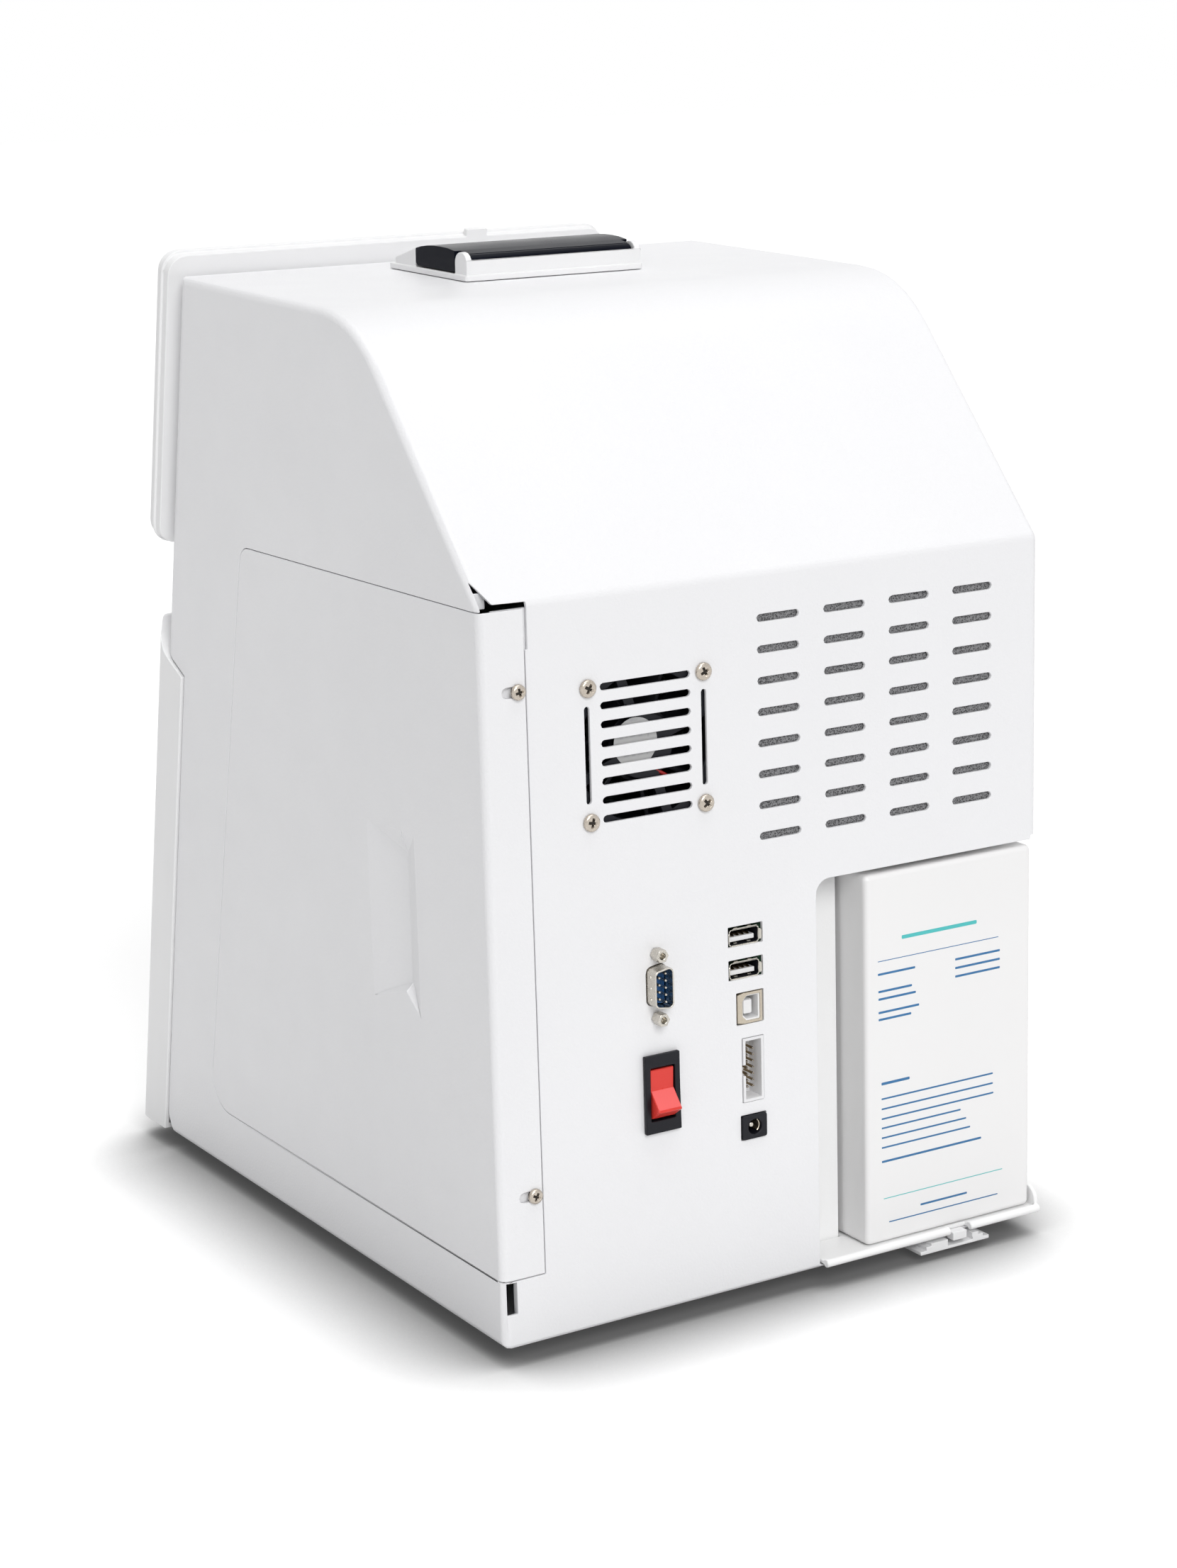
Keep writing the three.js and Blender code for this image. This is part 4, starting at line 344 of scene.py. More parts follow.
def retiled(mesh):
    """Fills every flat region anew from its outline, because a bevel folds thin triangles over. A region whose
    area doesn't come back is left as it was."""
    work = bmesh.new()
    work.from_mesh(mesh)
    taken = set()
    groups = []
    for seed in sorted(work.faces, key=lambda face: -face.calc_area()):
        if seed in taken:
            continue
        normal = seed.normal.copy()
        level = normal.dot(seed.verts[0].co)
        group = {seed}
        stack = [seed]
        while stack:
            for edge in stack.pop().edges:
                for other in edge.link_faces:
                    if other in group or other in taken or other.material_index != seed.material_index:
                        continue
                    if abs(other.normal.dot(normal)) < 0.99999 and other.calc_area() > sliver_area:
                        continue
                    if all(abs(normal.dot(vert.co) - level) < plane_gap for vert in other.verts):
                        group.add(other)
                        stack.append(other)
        taken |= group
        if len(group) > 3:
            groups.append((normal, group))
    for normal, group in groups:
        across = normal.orthogonal().normalized()
        up = normal.cross(across)
        rim = {edge for face in group for edge in face.edges if sum(f in group for f in edge.link_faces) == 1}
        verts = list({vert for edge in rim for vert in edge.verts})
        number = {vert: k for k, vert in enumerate(verts)}
        flat = [Vector((vert.co.dot(across) / MM, vert.co.dot(up) / MM)) for vert in verts]
        pairs = [(number[edge.verts[0]], number[edge.verts[1]]) for edge in rim]
        spots, _, tiles, origins, _, _ = delaunay_2d_cdt(flat, pairs, [], 1, 0.00001)
        lines = [(flat[a].x, flat[a].y, flat[b].x, flat[b].y) for a, b in pairs]
        kept = []
        after = 0.0
        for tile in tiles:
            a, b, c = (spots[k] for k in tile)
            area = abs((b - a).cross(c - a)) / 2
            x, y = (a.x + b.x + c.x) / 3, (a.y + b.y + c.y) / 3
            passed = sum((y0 > y) != (y1 > y) and x < x0 + (x1 - x0) * (y - y0) / (y1 - y0)
                         for x0, y0, x1, y1 in lines)
            if passed % 2 and area > 0.0000001:
                kept.append(tile)
                after += area
        before = sum(face.calc_area() * (1 if face.normal.dot(normal) > 0 else -1) for face in group) / MM / MM
        if abs(before - after) > 0.002 * before:
            continue
        depth = normal.dot(verts[0].co)
        corners = [verts[origin[0]] if origin else work.verts.new(
            across * (spot.x * MM) + up * (spot.y * MM) + normal * depth) for spot, origin in zip(spots, origins)]
        bmesh.ops.delete(work, geom=list(group), context="FACES_ONLY")
        for tile in kept:
            triangle = [corners[k] for k in tile]
            if work.faces.get(triangle) is None:
                work.faces.new(triangle)
    loose = [edge for edge in work.edges if not edge.link_faces]
    bmesh.ops.delete(work, geom=loose, context="EDGES")
    bmesh.ops.delete(work, geom=[vert for vert in work.verts if not vert.link_faces], context="VERTS")
    work.to_mesh(mesh)
    work.free()


def even_normals(mesh, crisp=None):
    """Corner normals weighted by the area of the whole flat region that a face belongs to, so only bends and
    edges turn the shading. Faces with slot 1 come from the bevel; inside the crisp box creases stay sharp."""
    work = bmesh.new()
    work.from_mesh(mesh)
    region, areas = flat_regions(work)
    wide, curve, keen = (math.cos(math.radians(a)) for a in (50, 40, 1))
    normals = []
    for face in work.faces:
        inside = crisp and all(low <= value <= high for low, value, high in zip(
            crisp[0], face.calc_center_median() / MM - ORIGIN, crisp[1]))
        for corner in face.loops:
            total = Vector((0, 0, 0))
            for other in corner.vert.link_faces:
                soft = face.material_index == 1 or other.material_index == 1
                if other.normal.dot(face.normal) > (wide if soft else keen if inside else curve):
                    total += other.normal * areas[region[other.index]]
            normals.append(total.normalized() if total.length > 0 else face.normal.copy())
    work.free()
    mesh.shade_smooth()
    mesh.normals_split_custom_set(normals)


edge_widths = {
    "door_strip": 0.2, "reagent_drawer": 0.4, "display_back": 0.5, "display_bezel": 0.6, "front_door": 0.6,
    "printer_frame": 0.4, "printer_lid": 0.15, "switch_body": 0.35, "switch_rocker": 0.3, "serial_shell": 0.12,
    "serial_insert": 0.08, "usb_a_stack": 0.1, "box_header": 0.15, "power_jack": 0.25, "catch_block": 0.3,
    "latch_tongue": 0.3, "sampler_housing": 0.6, "sampler_lever": 0.5, "fan_frame": 0.3, "fan_rotor": 0.15,
}
cabinet_sheets = ["base_pan", "side_wall_right", "side_wall_left", "rear_panel", "top_cover", "front_frame"]
# Node: the width of its soft edges and its body.
own_skins = {
    "service_door": (0.32, "service_door"), "reagent_pack": (0.0, "drawer"), "front_door": (0.5, "front_door"),
    "display_back": (0.5, "cabinet"), "printer_frame": (0.4, "cabinet"),
}
own_looks = {
    # The bay's parts take the lighter white, painted light for the shaded bay.
    "bay_partition": bay_white_painted_light, "bay_back_wall": bay_white_painted_light, "bay_roof": bay_white_painted_light, "reagent_drawer": bay_white_painted_light,
    "latch_tongue": white_moulding, "box_header": header_grey,
}
for name, node in nodes.items():
    dress(node, own_looks.get(name, materials[slot_of[name]]))
    if name not in cabinet_sheets and name not in own_skins:
        soften(node, edge_widths.get(name, 0.15) * MM)


# Copies of frame nodes with soft edges and even shading

def welded_copy(name, source):
    mesh = nodes[source].data.copy()
    work = bmesh.new()
    work.from_mesh(mesh)
    bmesh.ops.remove_doubles(work, verts=work.verts, dist=0.000001)
    work.to_mesh(mesh)
    work.free()
    return linked(name, mesh)


def combined(base, obj, operation):
    step = base.modifiers.new("step", "BOOLEAN")
    step.operation = operation
    step.solver = "MANIFOLD"
    step.object = obj
    applied(base)
    bpy.data.objects.remove(obj)


def joined_copy(name, sources):
    base = welded_copy(name, sources[0])
    for source in sources[1:]:
        combined(base, welded_copy(source + "_copy", source), "UNION")
    return base


def hull(points):
    work = bmesh.new()
    corners = [work.verts.new((Vector(point) + ORIGIN) * MM) for point in points]
    bmesh.ops.convex_hull(work, input=corners)
    bmesh.ops.recalc_face_normals(work, faces=work.faces)
    mesh = bpy.data.meshes.new("hull")
    work.to_mesh(mesh)
    work.free()
    return linked("hull", mesh)


def regripped(obj):
    """The grip refilled and pressed again with the broad slanted rear wall and the bottom flare of the photo."""
    fill_depth, grip_depth = 4.6, 3.4
    filler = [(x, y, z) for x in (side_x - fill_depth, side_x) for y in (-96, -53.5) for z in (113, 190)]
    combined(obj, hull(filler), "UNION")
    floor_edge = [(side_x - grip_depth, -66.8, 178.2), (side_x - grip_depth, -67.0, 127.4)]
    mouths = [
        [(-94, 187.8), (-65.5, 187.7), (-65.5, 124.5), (-94, 116.4)],
        [(-66.6, 187.7), (-55.5, 187.6), (-55.8, 122.9), (-56.3, 116.9), (-66.6, 124.1)],
    ]
    for mouth in mouths:
        rims = [(x, y, z) for x in (side_x + 0.02, side_x + 2) for y, z in mouth]
        combined(obj, hull(rims + floor_edge), "DIFFERENCE")
    return obj


def finished_skin(obj, width, slot, body, replaced, crisp=None):
    dress(obj, materials[slot])
    obj.data.materials.append(materials[slot])
    if width > 0:
        bevelled(obj, width * MM, 2, 40)
        obj.modifiers["bevel"].material = 1
        applied(obj)
        retiled(obj.data)
    even_normals(obj.data, crisp)
    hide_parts(*replaced)
    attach(obj, body)


finished_skin(joined_copy("cabinet_skin", cabinet_sheets), 0.3, "white_paint", "cabinet", cabinet_sheets)
# The region of the door's finger grip, where creases stay sharp.
grip_box = ((100, -100, 80), (140, -30, 220))
for name, (width, body) in own_skins.items():
    skin = welded_copy(name + "_skin", name)
    is_door = name == "service_door"
    finished_skin(regripped(skin) if is_door else skin, width, slot_of[name], body, [name],
                  grip_box if is_door else None)


# Mesh helpers for details, with every point in the cabinet's own frame

def new_piece(name, groups, material, body, replaced=(), edge=0.0):
    points, faces = collect(groups)
    mesh = bpy.data.meshes.new(name)
    mesh.from_pydata([(Vector(point) + ORIGIN) * MM for point in points], [], faces)
    mesh.validate()
    work = bmesh.new()
    work.from_mesh(mesh)
    bmesh.ops.remove_doubles(work, verts=work.verts, dist=0.0000002)
    bmesh.ops.recalc_face_normals(work, faces=work.faces)
    work.to_mesh(mesh)
    work.free()
    obj = linked(name, mesh)
    soften(obj, edge * MM)
    dress(obj, material)
    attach(obj, body)
    if replaced:
        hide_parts(*replaced)


def bands(loops, closed=False, base=0):
    """Quads between outlines of equal length, with caps at the ends or a last band back to the first."""
    count = len(loops[0])
    faces = []
    pairs = list(zip(range(len(loops) - 1), range(1, len(loops))))
    if closed:
        pairs.append((len(loops) - 1, 0))
    for low, high in pairs:
        for k in range(count):
            after = (k + 1) % count
            faces.append((base + low * count + k, base + low * count + after,
                          base + high * count + after, base + high * count + k))
    if not closed:
        faces.append(tuple(base + k for k in range(count)))
        faces.append(tuple(base + (len(loops) - 1) * count + k for k in reversed(range(count))))
    return faces


def collect(groups):
    points, faces = [], []
    for loops, options in groups:
        faces += bands(loops, base=len(points), **options)
        for loop in loops:
            points += loop
    return points, faces


def rounded_box(width, height, radius, steps=4):
    outline = []
    for corner in range(4):
        cx = (width / 2 - radius) * (1 if corner in (0, 3) else -1)
        cz = (height / 2 - radius) * (1 if corner in (0, 1) else -1)
        for step in range(steps + 1):
            angle = math.radians(corner * 90 + step * 90 / steps)
            outline.append((cx + radius * math.cos(angle), cz + radius * math.sin(angle)))
    return outline


def circle(radius, sides):
    return [(radius * math.cos(2 * math.pi * k / sides), radius * math.sin(2 * math.pi * k / sides))
            for k in range(sides)]


def facing(outline, x, z, y):
    """An outline drawn on the rear panel, seen from behind it, at depth y."""
    return [(x + a, y, z + b) for a, b in outline]


def box_loops(x, z, width, height, rear, front, radius=0.0):
    outline = rounded_box(width, height, radius, 3) if radius > 0 else [
        (width / 2, height / 2), (-width / 2, height / 2), (-width / 2, -height / 2), (width / 2, -height / 2)]
    return [facing(outline, x, z, rear), facing(outline, x, z, front)]


# Pan-head screws with a cross recess

cross_turns = (35, 125)
turn_step = 37


def screw_mesh(name, head, rise, shank, reach, cross, wide, deep):
    sides = 40
    seat = 0.3
    profile = [
        (shank, -reach), (shank, seat), (head, seat), (head, seat + rise * 0.35), (head * 0.95, seat + rise * 0.66),
        (head * 0.84, seat + rise * 0.87), (head * 0.68, seat + rise * 0.97), (head * 0.5, seat + rise),
    ]
    loops = [facing(circle(radius, sides), 0, 0, y) for radius, y in profile]
    points, faces = collect([(loops, {})])
    top = seat + rise
    arms = []
    for turn in cross_turns:
        angle = math.radians(turn)
        arm = []
        for depth, share in ((-deep, 0.45), (0.5, 1.15)):
            long, thick = cross * share, wide * (0.35 + 0.65 * share) / 2
            arm.append([
                (u * math.cos(angle) - v * math.sin(angle), top + depth, u * math.sin(angle) + v * math.cos(angle))
                for u, v in ((long, thick), (-long, thick), (-long, -thick), (long, -thick))])
        arms.append(collect([(arm, {})]))
    made = []
    for part_points, part_faces in [(points, faces)] + arms:
        mesh = bpy.data.meshes.new(name)
        mesh.from_pydata([Vector(p) * MM for p in part_points], [], part_faces)
        work = bmesh.new()
        work.from_mesh(mesh)
        bmesh.ops.recalc_face_normals(work, faces=work.faces)
        work.to_mesh(mesh)
        work.free()
        made.append(linked(name, mesh))
    for cutter in made[1:]:
        combined(made[0], cutter, "DIFFERENCE")
    mesh = made[0].data
    bpy.data.objects.remove(made[0])
    return mesh


def screws(mesh, body, spots, turn, cross, wide, floor_y):
    """One screw on each spot, each turned further than the last, with a dark cross on its recess's floor: painted
    shade for the recess's depth.
    """
    for index, (node, x, z) in enumerate(spots):
        copy = mesh.copy()
        copy.transform(Matrix.Rotation(math.radians(turn + index * turn_step), 4, "Y"))
        copy.transform(Matrix.Translation((Vector((x, 0, z)) + ORIGIN) * MM))
        obj = linked(node + "_detail", copy)
        soften(obj, 0.06 * MM, 1, 45)
        dress(obj, screw_nickel)
        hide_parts(node)
        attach(obj, body)
        # The cross below is painted shade: a dark plate laid on the recess's floor.
        groups = []
        for arm in cross_turns:
            angle = math.radians(arm) - math.radians(turn + index * turn_step)
            u, v = (math.cos(angle), math.sin(angle)), (-math.sin(angle), math.cos(angle))
            outline = [(u[0] * a + v[0] * b, u[1] * a + v[1] * b) for a, b in (
                (cross, wide), (-cross, wide), (-cross, -wide), (cross, -wide))]
            groups.append(([facing(outline, x, z, floor_y), facing(outline, x, z, floor_y + 0.1 + arm * 0.0004)], {}))
        new_piece(node + "_recess", groups, recess_shade, body)


fan_x, fan_z, fan_hole = 57.0, 222.3, 25
screws(screw_mesh("fan_screw_form", 3.4, 1.5, 1.9, 7.4, 2.05, 1.15, 1.4), "cabinet", [
    ("fan_screw_1", fan_x - fan_hole, fan_z - fan_hole), ("fan_screw_2", fan_x + fan_hole, fan_z - fan_hole),
    ("fan_screw_3", fan_x - fan_hole, fan_z + fan_hole), ("fan_screw_4", fan_x + fan_hole, fan_z + fan_hole),
], -14, 1.75, 0.42, 0.95)
door_screw_x = 111
screws(screw_mesh("door_screw_form", 2.95, 1.6, 1.4, 5.0, 1.8, 1.0, 1.4), "service_door", [
    ("door_screw_1", door_screw_x, 58.7), ("door_screw_2", door_screw_x, 249.8),
], 10, 1.55, 0.38, 1.05)


# Fan: plain hub disc and a red lead behind the slots

hub_x, hub_z = fan_x + 3.9, fan_z + 1.9
new_piece("fan_hub_disc", [([facing(circle(9.4, 48), hub_x, hub_z, y) for y in (-1.79, -1.68)], {})],
          disc_silver, "cabinet")
new_piece("fan_hub_bars", [(box_loops(hub_x + x, hub_z + z, w, h, -1.69, -1.64), {}) for x, z, w, h in (
    (6.0, 2.6, 1.2, 1.5), (3.9, 3.1, 0.9, 1.8), (1.2, 2.3, 2.2, 0.5), (1.2, 3.5, 2.2, 0.5), (-2.2, 2.9, 1.6, 1.9),
    (-5.6, 2.6, 0.5, 2.4), (4.4, -3.6, 2.6, 0.6), (4.0, -4.8, 2.0, 0.6), (0.9, -4.2, 1.2, 2.0),
    (-2.0, -4.2, 2.0, 1.4), (-5.0, -4.0, 0.6, 2.2), (0.5, 8.4, 3.2, 0.7),
)], materials["grey_plastic"], "cabinet")


def tube(path, radius, sides=10):
    loops = []
    centres = [Vector(p) for p in path]
    for k, centre in enumerate(centres):
        ahead = (centres[min(k + 1, len(centres) - 1)] - centres[max(k - 1, 0)]).normalized()
        across = ahead.cross(Vector((0, 1, 0.01))).normalized()
        up = across.cross(ahead)
        loops.append([tuple(centre + across * a + up * b) for a, b in circle(radius, sides)])
    return loops


new_piece("fan_lead", [(tube([
    (fan_x - 3.4, -2.7, fan_z - 8.6), (fan_x - 4.9, -2.5, fan_z - 9.6), (fan_x - 8.7, -2.5, fan_z - 12.1),
    (fan_x - 9.9, -2.7, fan_z - 12.9),
], 0.75), {})], lead_red, "cabinet")


# Serial socket: steel pins over the insert, dimples in the shell's flank

serial_x, serial_z = 55.5, 130.3
groups = []
for column, count in ((0, 5), (1, 4)):
    for row in range(count):
        x = serial_x + (column - 0.5) * 2.84
        z = serial_z + (row - (count - 1) / 2) * 2.77
        groups.append(([facing(circle(r, 12), x, z, y) for r, y in (
            (0.56, 0.3), (0.56, 4.2), (0.5, 4.55), (0.3, 4.75))], {}))
new_piece("serial_pins", groups, materials["nickel_steel"], "cabinet")
groups = []
for shift in (-4.4, 0.0, 4.4):
    loops = []
    for radius, reach in ((0.75, -0.1), (0.72, 0.12), (0.55, 0.3), (0.28, 0.4)):
        loops.append([(serial_x + 4.12 + reach, 2.6 + a, serial_z + shift + b) for a, b in circle(radius, 16)])
    groups.append((loops, {}))
new_piece("serial_dimples", groups, materials["nickel_steel"], "cabinet")


# Stacked USB sockets: octagonal cans with four flared lips each, spring bumps, tongues with their contacts up

usb_x, usb_levels = 15.0, (142.3, 129.1)


def octagon(width, height, cut):
    w, h = width / 2, height / 2
    return [(w, h - cut), (w - cut, h), (cut - w, h), (-w, h - cut), (-w, cut - h), (cut - w, -h), (w - cut, -h),
            (w, cut - h)]


def flare(x, z, long, reach, turn, root=-1.15, tip=-0.1, out=0.75, thick=0.3):
    """A lip that bends outward from the mouth of a can; turn says on which side it stands."""
    c, s = math.cos(turn), math.sin(turn)
    rows = []
    for along in (-long / 2, -long / 2 + 0.4, long / 2 - 0.4, long / 2):
        drop = 0.0 if abs(along) < long / 2 - 0.1 else 0.35
        section = [(reach, root), (reach + out * 0.35, root + (tip - root) * 0.45), (reach + out - drop, tip - drop),
                   (reach + out + thick - drop, tip - 0.12 - drop),
                   (reach + out * 0.35 + thick, root + (tip - root) * 0.35), (reach + thick, root - 0.1)]
        rows.append([(x + across * c - along * s, y, z + across * s + along * c) for across, y in section])
    return rows


groups, dark, blades, contacts = [], [], [], []
for level in usb_levels:
    groups.append(([facing(octagon(w, h, c), usb_x, level, y) for w, h, c, y in (
        (12.9, 5.9, 0.6, -11.5), (12.9, 5.9, 0.6, -1.1), (13.5, 6.5, 0.7, -1.1), (13.5, 6.5, 0.7, -11.5),
    )], {"closed": True}))
    for long, reach, turn, out in (
            (11.4, 3.0, 90, 0.6), (11.4, 3.0, 270, 1.0), (4.2, 6.5, 0, 0.75), (4.2, 6.5, 180, 0.75)):
        groups.append((flare(usb_x, level, long, reach, math.radians(turn), out=out), {}))
    for side in (-1, 1):
        groups.append((box_loops(usb_x + side * 3.1, level + 3.35, 1.7, 0.6, -4.2, -2.2, 0.2), {}))
        groups.append((box_loops(usb_x + side * 3.1, level - 2.6, 1.5, 0.35, -3.6, -2.4, 0.1), {}))
    # A black sleeve inside each can, closed at the back: painted shade for the can's deep inside.
    dark.append(([facing(octagon(w, h, 0.55), usb_x, level, y) for w, h, y in (
        (12.3, 5.3, -9.7), (12.3, 5.3, -10.2), (12.85, 5.85, -10.2), (12.85, 5.85, -1.5), (12.7, 5.7, -1.5),
        (12.7, 5.7, -9.7))], {}))
    blades.append((box_loops(usb_x, level - 1.0, 11.1, 1.8, -9.65, -2.6, 0.2), {}))
    for k in range(4):
        x = usb_x + (k - 1.5) * 2.3
        contacts.append(([[(x + w, y, level - 0.12 + z) for w, z in ((0.55, 0), (0.55, h), (-0.55, h), (-0.55, 0))]
                          for y, h in ((-9.6, 0.1), (-8.4, 0.5), (-6.4, 1.0), (-4.6, 0.75), (-3.5, 0.1))], {}))
new_piece("usb_a_cans", groups, socket_nickel, "cabinet", ["usb_a_stack"])
new_piece("usb_a_painted_shade", dark, materials["black_plastic"], "cabinet")
new_piece("usb_a_tongues", blades, white_moulding, "cabinet", edge=0.1)
new_piece("usb_a_contacts", contacts, contact_gold, "cabinet")


# USB-B socket: folded can, white liner and core

def opening_b(grow):
    width, height, cut = 8.2 + grow * 2, 10.3 + grow * 2, 2.0 + grow * 0.4
    corners = [(width / 2 - cut, height / 2), (-width / 2, height / 2), (-width / 2, -height / 2),
               (width / 2 - cut, -height / 2), (width / 2, -height / 2 + cut), (width / 2, height / 2 - cut)]
    dense = []
    for k, corner in enumerate(corners):
        last = Vector(corners[k - 1])
        here = Vector(corner)
        after = Vector(corners[(k + 1) % 6])
        reach = min(0.5, (here - last).length / 3, (here - after).length / 3)
        begin = here + (last - here).normalized() * reach
        stop = here + (after - here).normalized() * reach
        for share in (0.0, 0.5, 1.0):
            dense.append(tuple((begin * (1 - share) + here * share) * (1 - share)
                               + (here * (1 - share) + stop * share) * share))
    return dense


usb_b_x, usb_b_z = 13.4, 114.0


def square_like(pattern, width, height):
    """A square outline with one point for each point of the pattern, so that the two join up."""
    outline = []
    for a, b in pattern:
        scale = 1 / max(abs(a) / (width / 2), abs(b) / (height / 2))
        outline.append((a * scale, b * scale))
    return outline


pattern = opening_b(0.0)
outer = square_like(pattern, 12.0, 12.4)
shift = [(a - 0.4, b) for a, b in pattern]
new_piece("usb_b_can", [([
    facing(outer, usb_b_x, usb_b_z, -13.6), facing(outer, usb_b_x, usb_b_z, 0.05),
    facing([(a * 0.975, b * 0.975) for a, b in outer], usb_b_x, usb_b_z, 0.3),
    facing(shift, usb_b_x, usb_b_z, 0.3), facing(shift, usb_b_x, usb_b_z, -0.5),
    facing([(a * 1.12, b * 1.1) for a, b in shift], usb_b_x, usb_b_z, -0.5),
    facing([(a * 1.12, b * 1.1) for a, b in shift], usb_b_x, usb_b_z, -13.5),
], {"closed": True})], face_nickel, "cabinet", ["usb_b"])
liner = [(a - 0.4, b) for a, b in opening_b(-0.02)]
inner = [(a - 0.4, b) for a, b in opening_b(-0.6)]
new_piece("usb_b_liner", [([
    facing(liner, usb_b_x, usb_b_z, -9.8), facing(liner, usb_b_x, usb_b_z, -0.3),
    facing(inner, usb_b_x, usb_b_z, -0.5), facing(inner, usb_b_x, usb_b_z, -9.0),
], {})], white_moulding, "cabinet")
new_piece("usb_b_core", [([
    facing(rounded_box(w, h, 0.3, 2), usb_b_x, usb_b_z - 0.2, y) for w, h, y in (
        (3.9, 5.5, -9.2), (3.9, 5.5, -2.1), (3.6, 5.2, -1.8))], {})], white_moulding, "cabinet")
new_piece("usb_b_contacts", [(box_loops(usb_b_x + side * 2.0, usb_b_z - 0.2 + level, 0.1, 0.9, -8.5, -2.6), {})
                         for side in (-1, 1) for level in (-1.3, 1.3)], contact_gold, "cabinet")


# Box header: fourteen square pins with chamfered tips

header_x, header_z, header_pitch = 12.4, 89.0, 2.54
groups = []
for row in range(7):
    for column in (-1, 1):
        x, z = header_x + column * header_pitch / 2, header_z + (row - 3) * header_pitch
        groups.append(([facing([(w, w), (-w, w), (-w, -w), (w, -w)], x, z, y) for w, y in (
            (0.36, -8.6), (0.36, -2.2), (0.16, -1.75))], {}))
new_piece("header_pins", groups, contact_gold, "cabinet")


# Power jack: steel pin and the curved spring contact in its bore

jack_x, jack_z = 12.6, 65.9
new_piece("jack_pin", [([facing(circle(r, 20), jack_x, jack_z, y) for r, y in (
    (1.06, -10.1), (1.06, -2.0), (0.95, -1.55), (0.6, -1.3),
)], {})], materials["nickel_steel"], "cabinet")
loops = []
for k in range(9):
    angle = math.radians(130 + k * 12.5)
    a, b = math.cos(angle), math.sin(angle)
    loops.append([(jack_x + r * a, y, jack_z + r * b)
                  for r, y in ((3.0, -6.0), (2.3, -6.0), (2.75, -0.7), (3.02, -0.5))])
new_piece("jack_contact", [(loops, {})], face_nickel, "cabinet")


# Rocker of the mains switch, with its raised lower half, whose sloping face carries a painted highlight

rocker_x, rocker_z = 54.8, 88.2
new_piece("rocker_paddle", [([[(rocker_x + x, y, rocker_z + z) for y, z in (
    (-3.6, 9.3), (1.3, 9.75), (1.62, 9.5), (1.3, 1.9), (1.35, 1.6), (6.85, -4.9), (7.2, -5.4), (7.1, -5.8),
    (2.0, -9.35), (1.5, -9.5), (-4.2, -8.4),
)] for x in (-5.1, 5.1)], {})], materials["red_plastic"], "rocker", ["switch_rocker"], 0.25)
# A thin lighter-red skin laid on the lower half's sloping face: painted highlight where the light falls on that face.
new_piece("rocker_painted_highlight", [([[(rocker_x + x, y, rocker_z + z) for y, z in (
    (1.5, 1.35), (6.75, -4.85), (6.8, -4.8), (1.55, 1.4),
)] for x in (-4.85, 4.85)], {})], red_painted_highlight, "rocker")


# Corner notch: the bent tab of the side wall behind it

def plain_box(x0, x1, y0, y1, z0, z1):
    return [[(x0, y, z0), (x1, y, z0), (x1, y, z1), (x0, y, z1)] for y in (y0, y1)]


new_piece("corner_tab", [(plain_box(119.6, 124.3, -7.2, -6.2, 280.0, 285.9), {})],
          white_paint, "cabinet", edge=0.2)


# Pack label: plain rules and bars

label_rear, label_front = 0.79, 0.83
bar_share = 0.7


def bar(left, right, level, tall):
    """A plain bar on the label, slimmer than its listed height so that it doesn't look too dark."""
    tall *= bar_share
    outline = rounded_box(abs(right - left), tall, tall * 0.25, 2)
    return ([facing(outline, (left + right) / 2, level, y) for y in (label_rear, label_front)], {})


new_piece("pack_print_bars", [bar(left, right, level, tall) for left, right, level, tall in (
    (-46.4, -105.9, 121.5, 0.45), (-46.4, -64.5, 116.2, 1.3), (-84.3, -106.7, 115.8, 1.3),
    (-84.3, -106.7, 112.2, 1.3), (-84.3, -106.7, 108.7, 1.3), (-46.6, -62.9, 109.1, 1.3),
    (-46.6, -64.8, 106.0, 1.3), (-46.6, -66.4, 100.5, 1.3), (-46.6, -62.5, 97.6, 1.3), (-47.8, -61.6, 70.9, 1.6),
    (-47.8, -103.3, 64.6, 1.0), (-47.8, -103.3, 60.4, 1.0), (-47.8, -103.6, 56.3, 1.0),
    (-47.8, -87.0, 52.4, 1.0), (-47.8, -89.8, 48.3, 1.0), (-47.8, -91.8, 44.2, 1.0), (-47.8, -97.4, 38.3, 1.3),
    (-66.8, -90.2, 16.2, 1.2), (-51.2, -105.9, 12.3, 0.7),
)], print_blue, "drawer")
new_piece("pack_print_rules", [bar(-48.6, -108.3, 22.6, 0.5), bar(-58.0, -95.0, 129.6, 2.2)],
          print_teal, "drawer")


# Floor, light and camera

def backdrop_rays(tree):
    """1 for the rays that see the background straight, in a gloss or through glass, and 0 for the rest."""
    path = tree.nodes.new("ShaderNodeLightPath")
    either = add(tree, "ShaderNodeMath", operation="MAXIMUM")
    third = add(tree, "ShaderNodeMath", operation="MAXIMUM")
    tree.links.new(path.outputs["Is Camera Ray"], either.inputs[0])
    tree.links.new(path.outputs["Is Glossy Ray"], either.inputs[1])
    tree.links.new(either.outputs["Value"], third.inputs[0])
    tree.links.new(path.outputs["Is Transmission Ray"], third.inputs[1])
    return third.outputs["Value"]


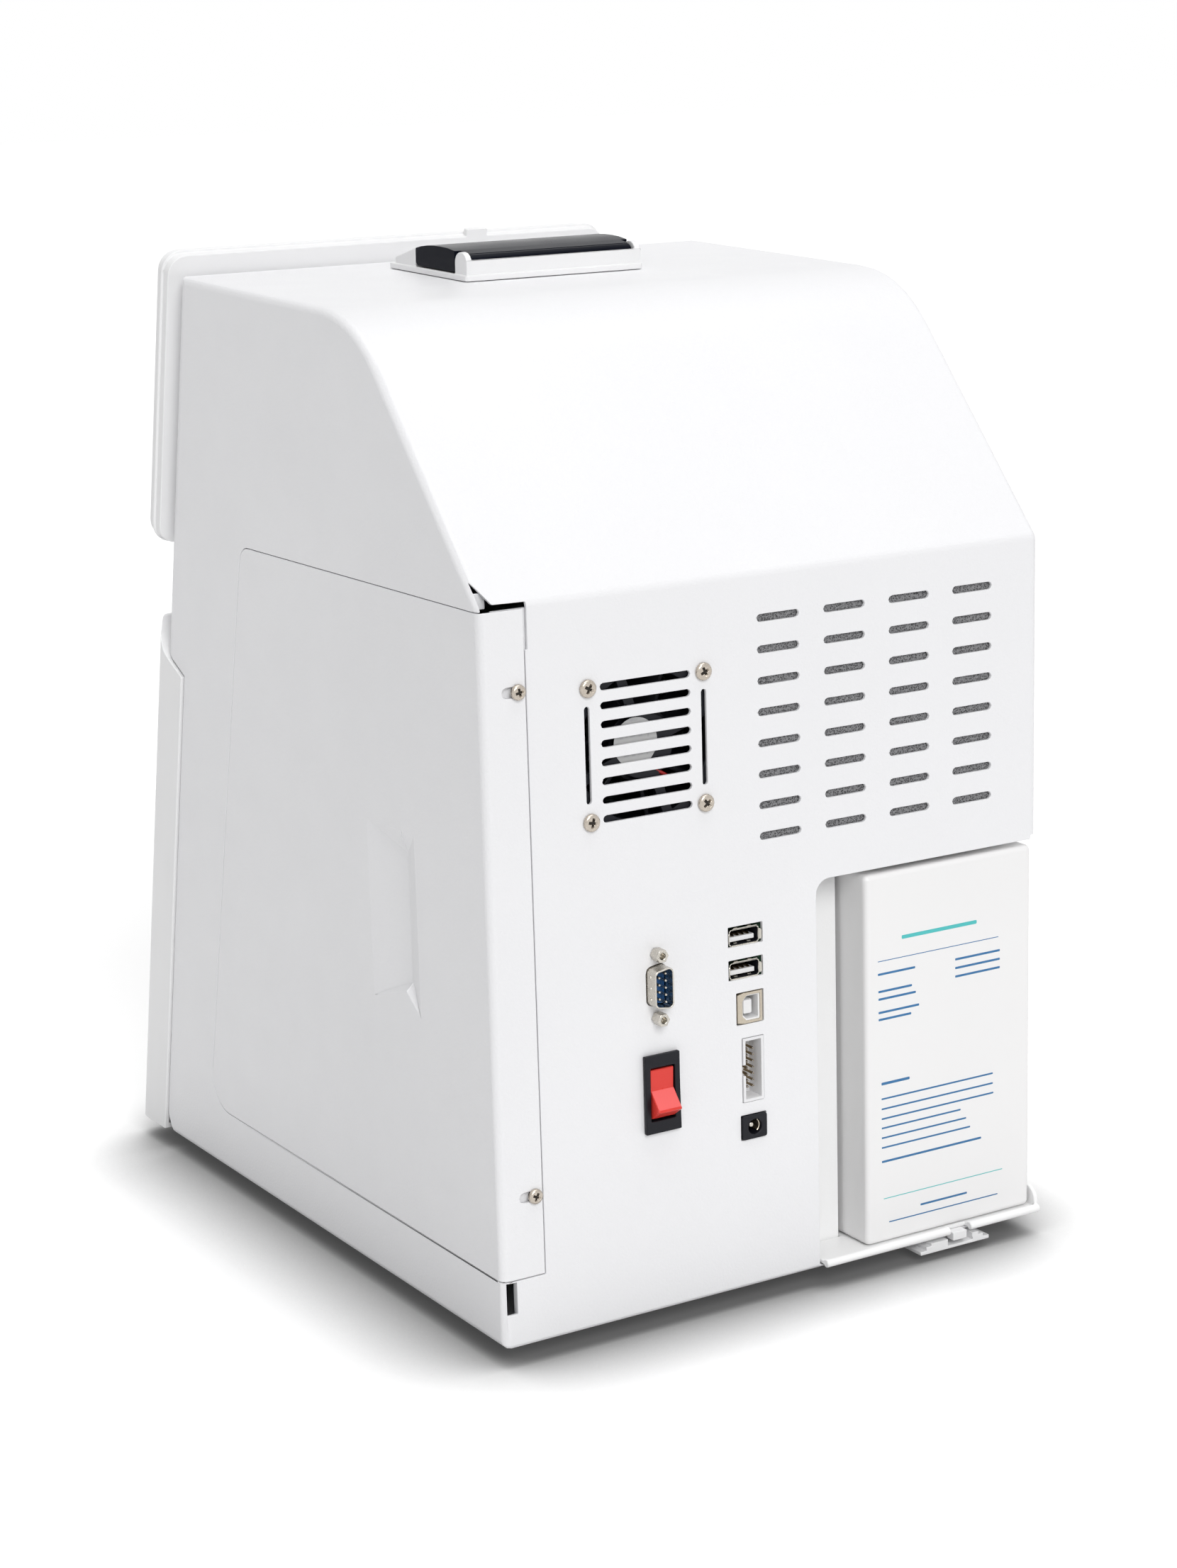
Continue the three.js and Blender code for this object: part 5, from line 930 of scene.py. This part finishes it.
def stage_material(name, colour, lift):
    material, tree, shader = new_material(name)
    # Ambient occlusion darkens the floor's colour and its lift near the base: a painted contact shadow.
    painted_shadow_ao = add(tree, "ShaderNodeAmbientOcclusion", Distance=0.064)
    painted_shadow_ao.samples = 24
    share = ramp(tree, painted_shadow_ao.outputs["AO"], [
        (0.3, (0.2, 0.2, 0.2)), (0.5, (0.36, 0.36, 0.36)), (0.66, (0.56, 0.56, 0.56)), (0.8, (0.78, 0.78, 0.78)),
        (0.93, (1, 1, 1))])
    grain = noise(tree, mapped(tree), 14.0, 2.0)
    colours = ramp(tree, grain, [(0.3, shade(colour, 0.995)), (0.7, shade(colour, 1.0))])
    shaded = add(tree, "ShaderNodeMixRGB", blend_type="MULTIPLY", Fac=1.0)
    tree.links.new(colours, shaded.inputs["Color1"])
    tree.links.new(share, shaded.inputs["Color2"])
    tree.links.new(shaded.outputs["Color"], shader.inputs["Base Color"])
    shader.inputs["Roughness"].default_value = 0.9
    shader.inputs["Specular IOR Level"].default_value = 0.0
    amount = add(tree, "ShaderNodeMath", operation="MULTIPLY")
    amount.inputs[1].default_value = lift
    tree.links.new(backdrop_rays(tree), amount.inputs[0])
    tree.links.new(share, shader.inputs["Emission Color"])
    tree.links.new(amount.outputs["Value"], shader.inputs["Emission Strength"])
    return material


def floor():
    mesh = bpy.data.meshes.new("floor")
    size = 12.0
    mesh.from_pydata([(-size, -size, 0), (size, -size, 0), (size, size, 0), (-size, size, 0)], [], [(0, 1, 2, 3)])
    obj = linked("floor", mesh)
    dress(obj, stage_material("floor_white_painted_shadow", (0.9, 0.9, 0.9), 0.22))


def sun(name, place, power, angle):
    data = bpy.data.lights.new(name, "SUN")
    data.energy = power
    data.angle = math.radians(angle)
    obj = linked(name, data)
    obj.location = place
    obj.rotation_euler = (-Vector(place)).to_track_quat("-Z", "Y").to_euler()


def world(strength):
    made = bpy.data.worlds.new("studio")
    made.use_nodes = True
    tree = made.node_tree
    tree.nodes.clear()
    out = tree.nodes.new("ShaderNodeOutputWorld")
    light = add(tree, "ShaderNodeBackground", Strength=strength)
    light.inputs["Color"].default_value = (1, 1, 1, 1)
    seen = add(tree, "ShaderNodeBackground", Strength=1.0)
    seen.inputs["Color"].default_value = (1, 1, 1, 1)
    mix = tree.nodes.new("ShaderNodeMixShader")
    tree.links.new(backdrop_rays(tree), mix.inputs["Fac"])
    tree.links.new(light.outputs["Background"], mix.inputs[1])
    tree.links.new(seen.outputs["Background"], mix.inputs[2])
    tree.links.new(mix.outputs["Shader"], out.inputs["Surface"])
    bpy.context.scene.world = made


floor()
world(0.33)
sun("key", (0.1, 0.4, 0.28), 1.5, 30)
sun("top", (-0.1, 0.0, 1.0), 1.3, 50)

camera_data = bpy.data.cameras.new("camera")
camera_data.lens = 74.8536
camera_data.sensor_width = 36.0
camera_data.shift_x = -0.013373
camera_data.shift_y = 0.040578
camera_data.clip_start = 0.05
camera_data.clip_end = 60.0
camera = linked("camera", camera_data)
camera.location = (0.676504, 1.155635, 0.494158)
camera.rotation_euler = Euler((math.radians(75.519407), math.radians(1.527064), math.radians(148.336884)), "XYZ")
bpy.context.scene.camera = camera
bpy.context.scene.view_settings.view_transform = "Standard"

bpy.context.view_layer.update()
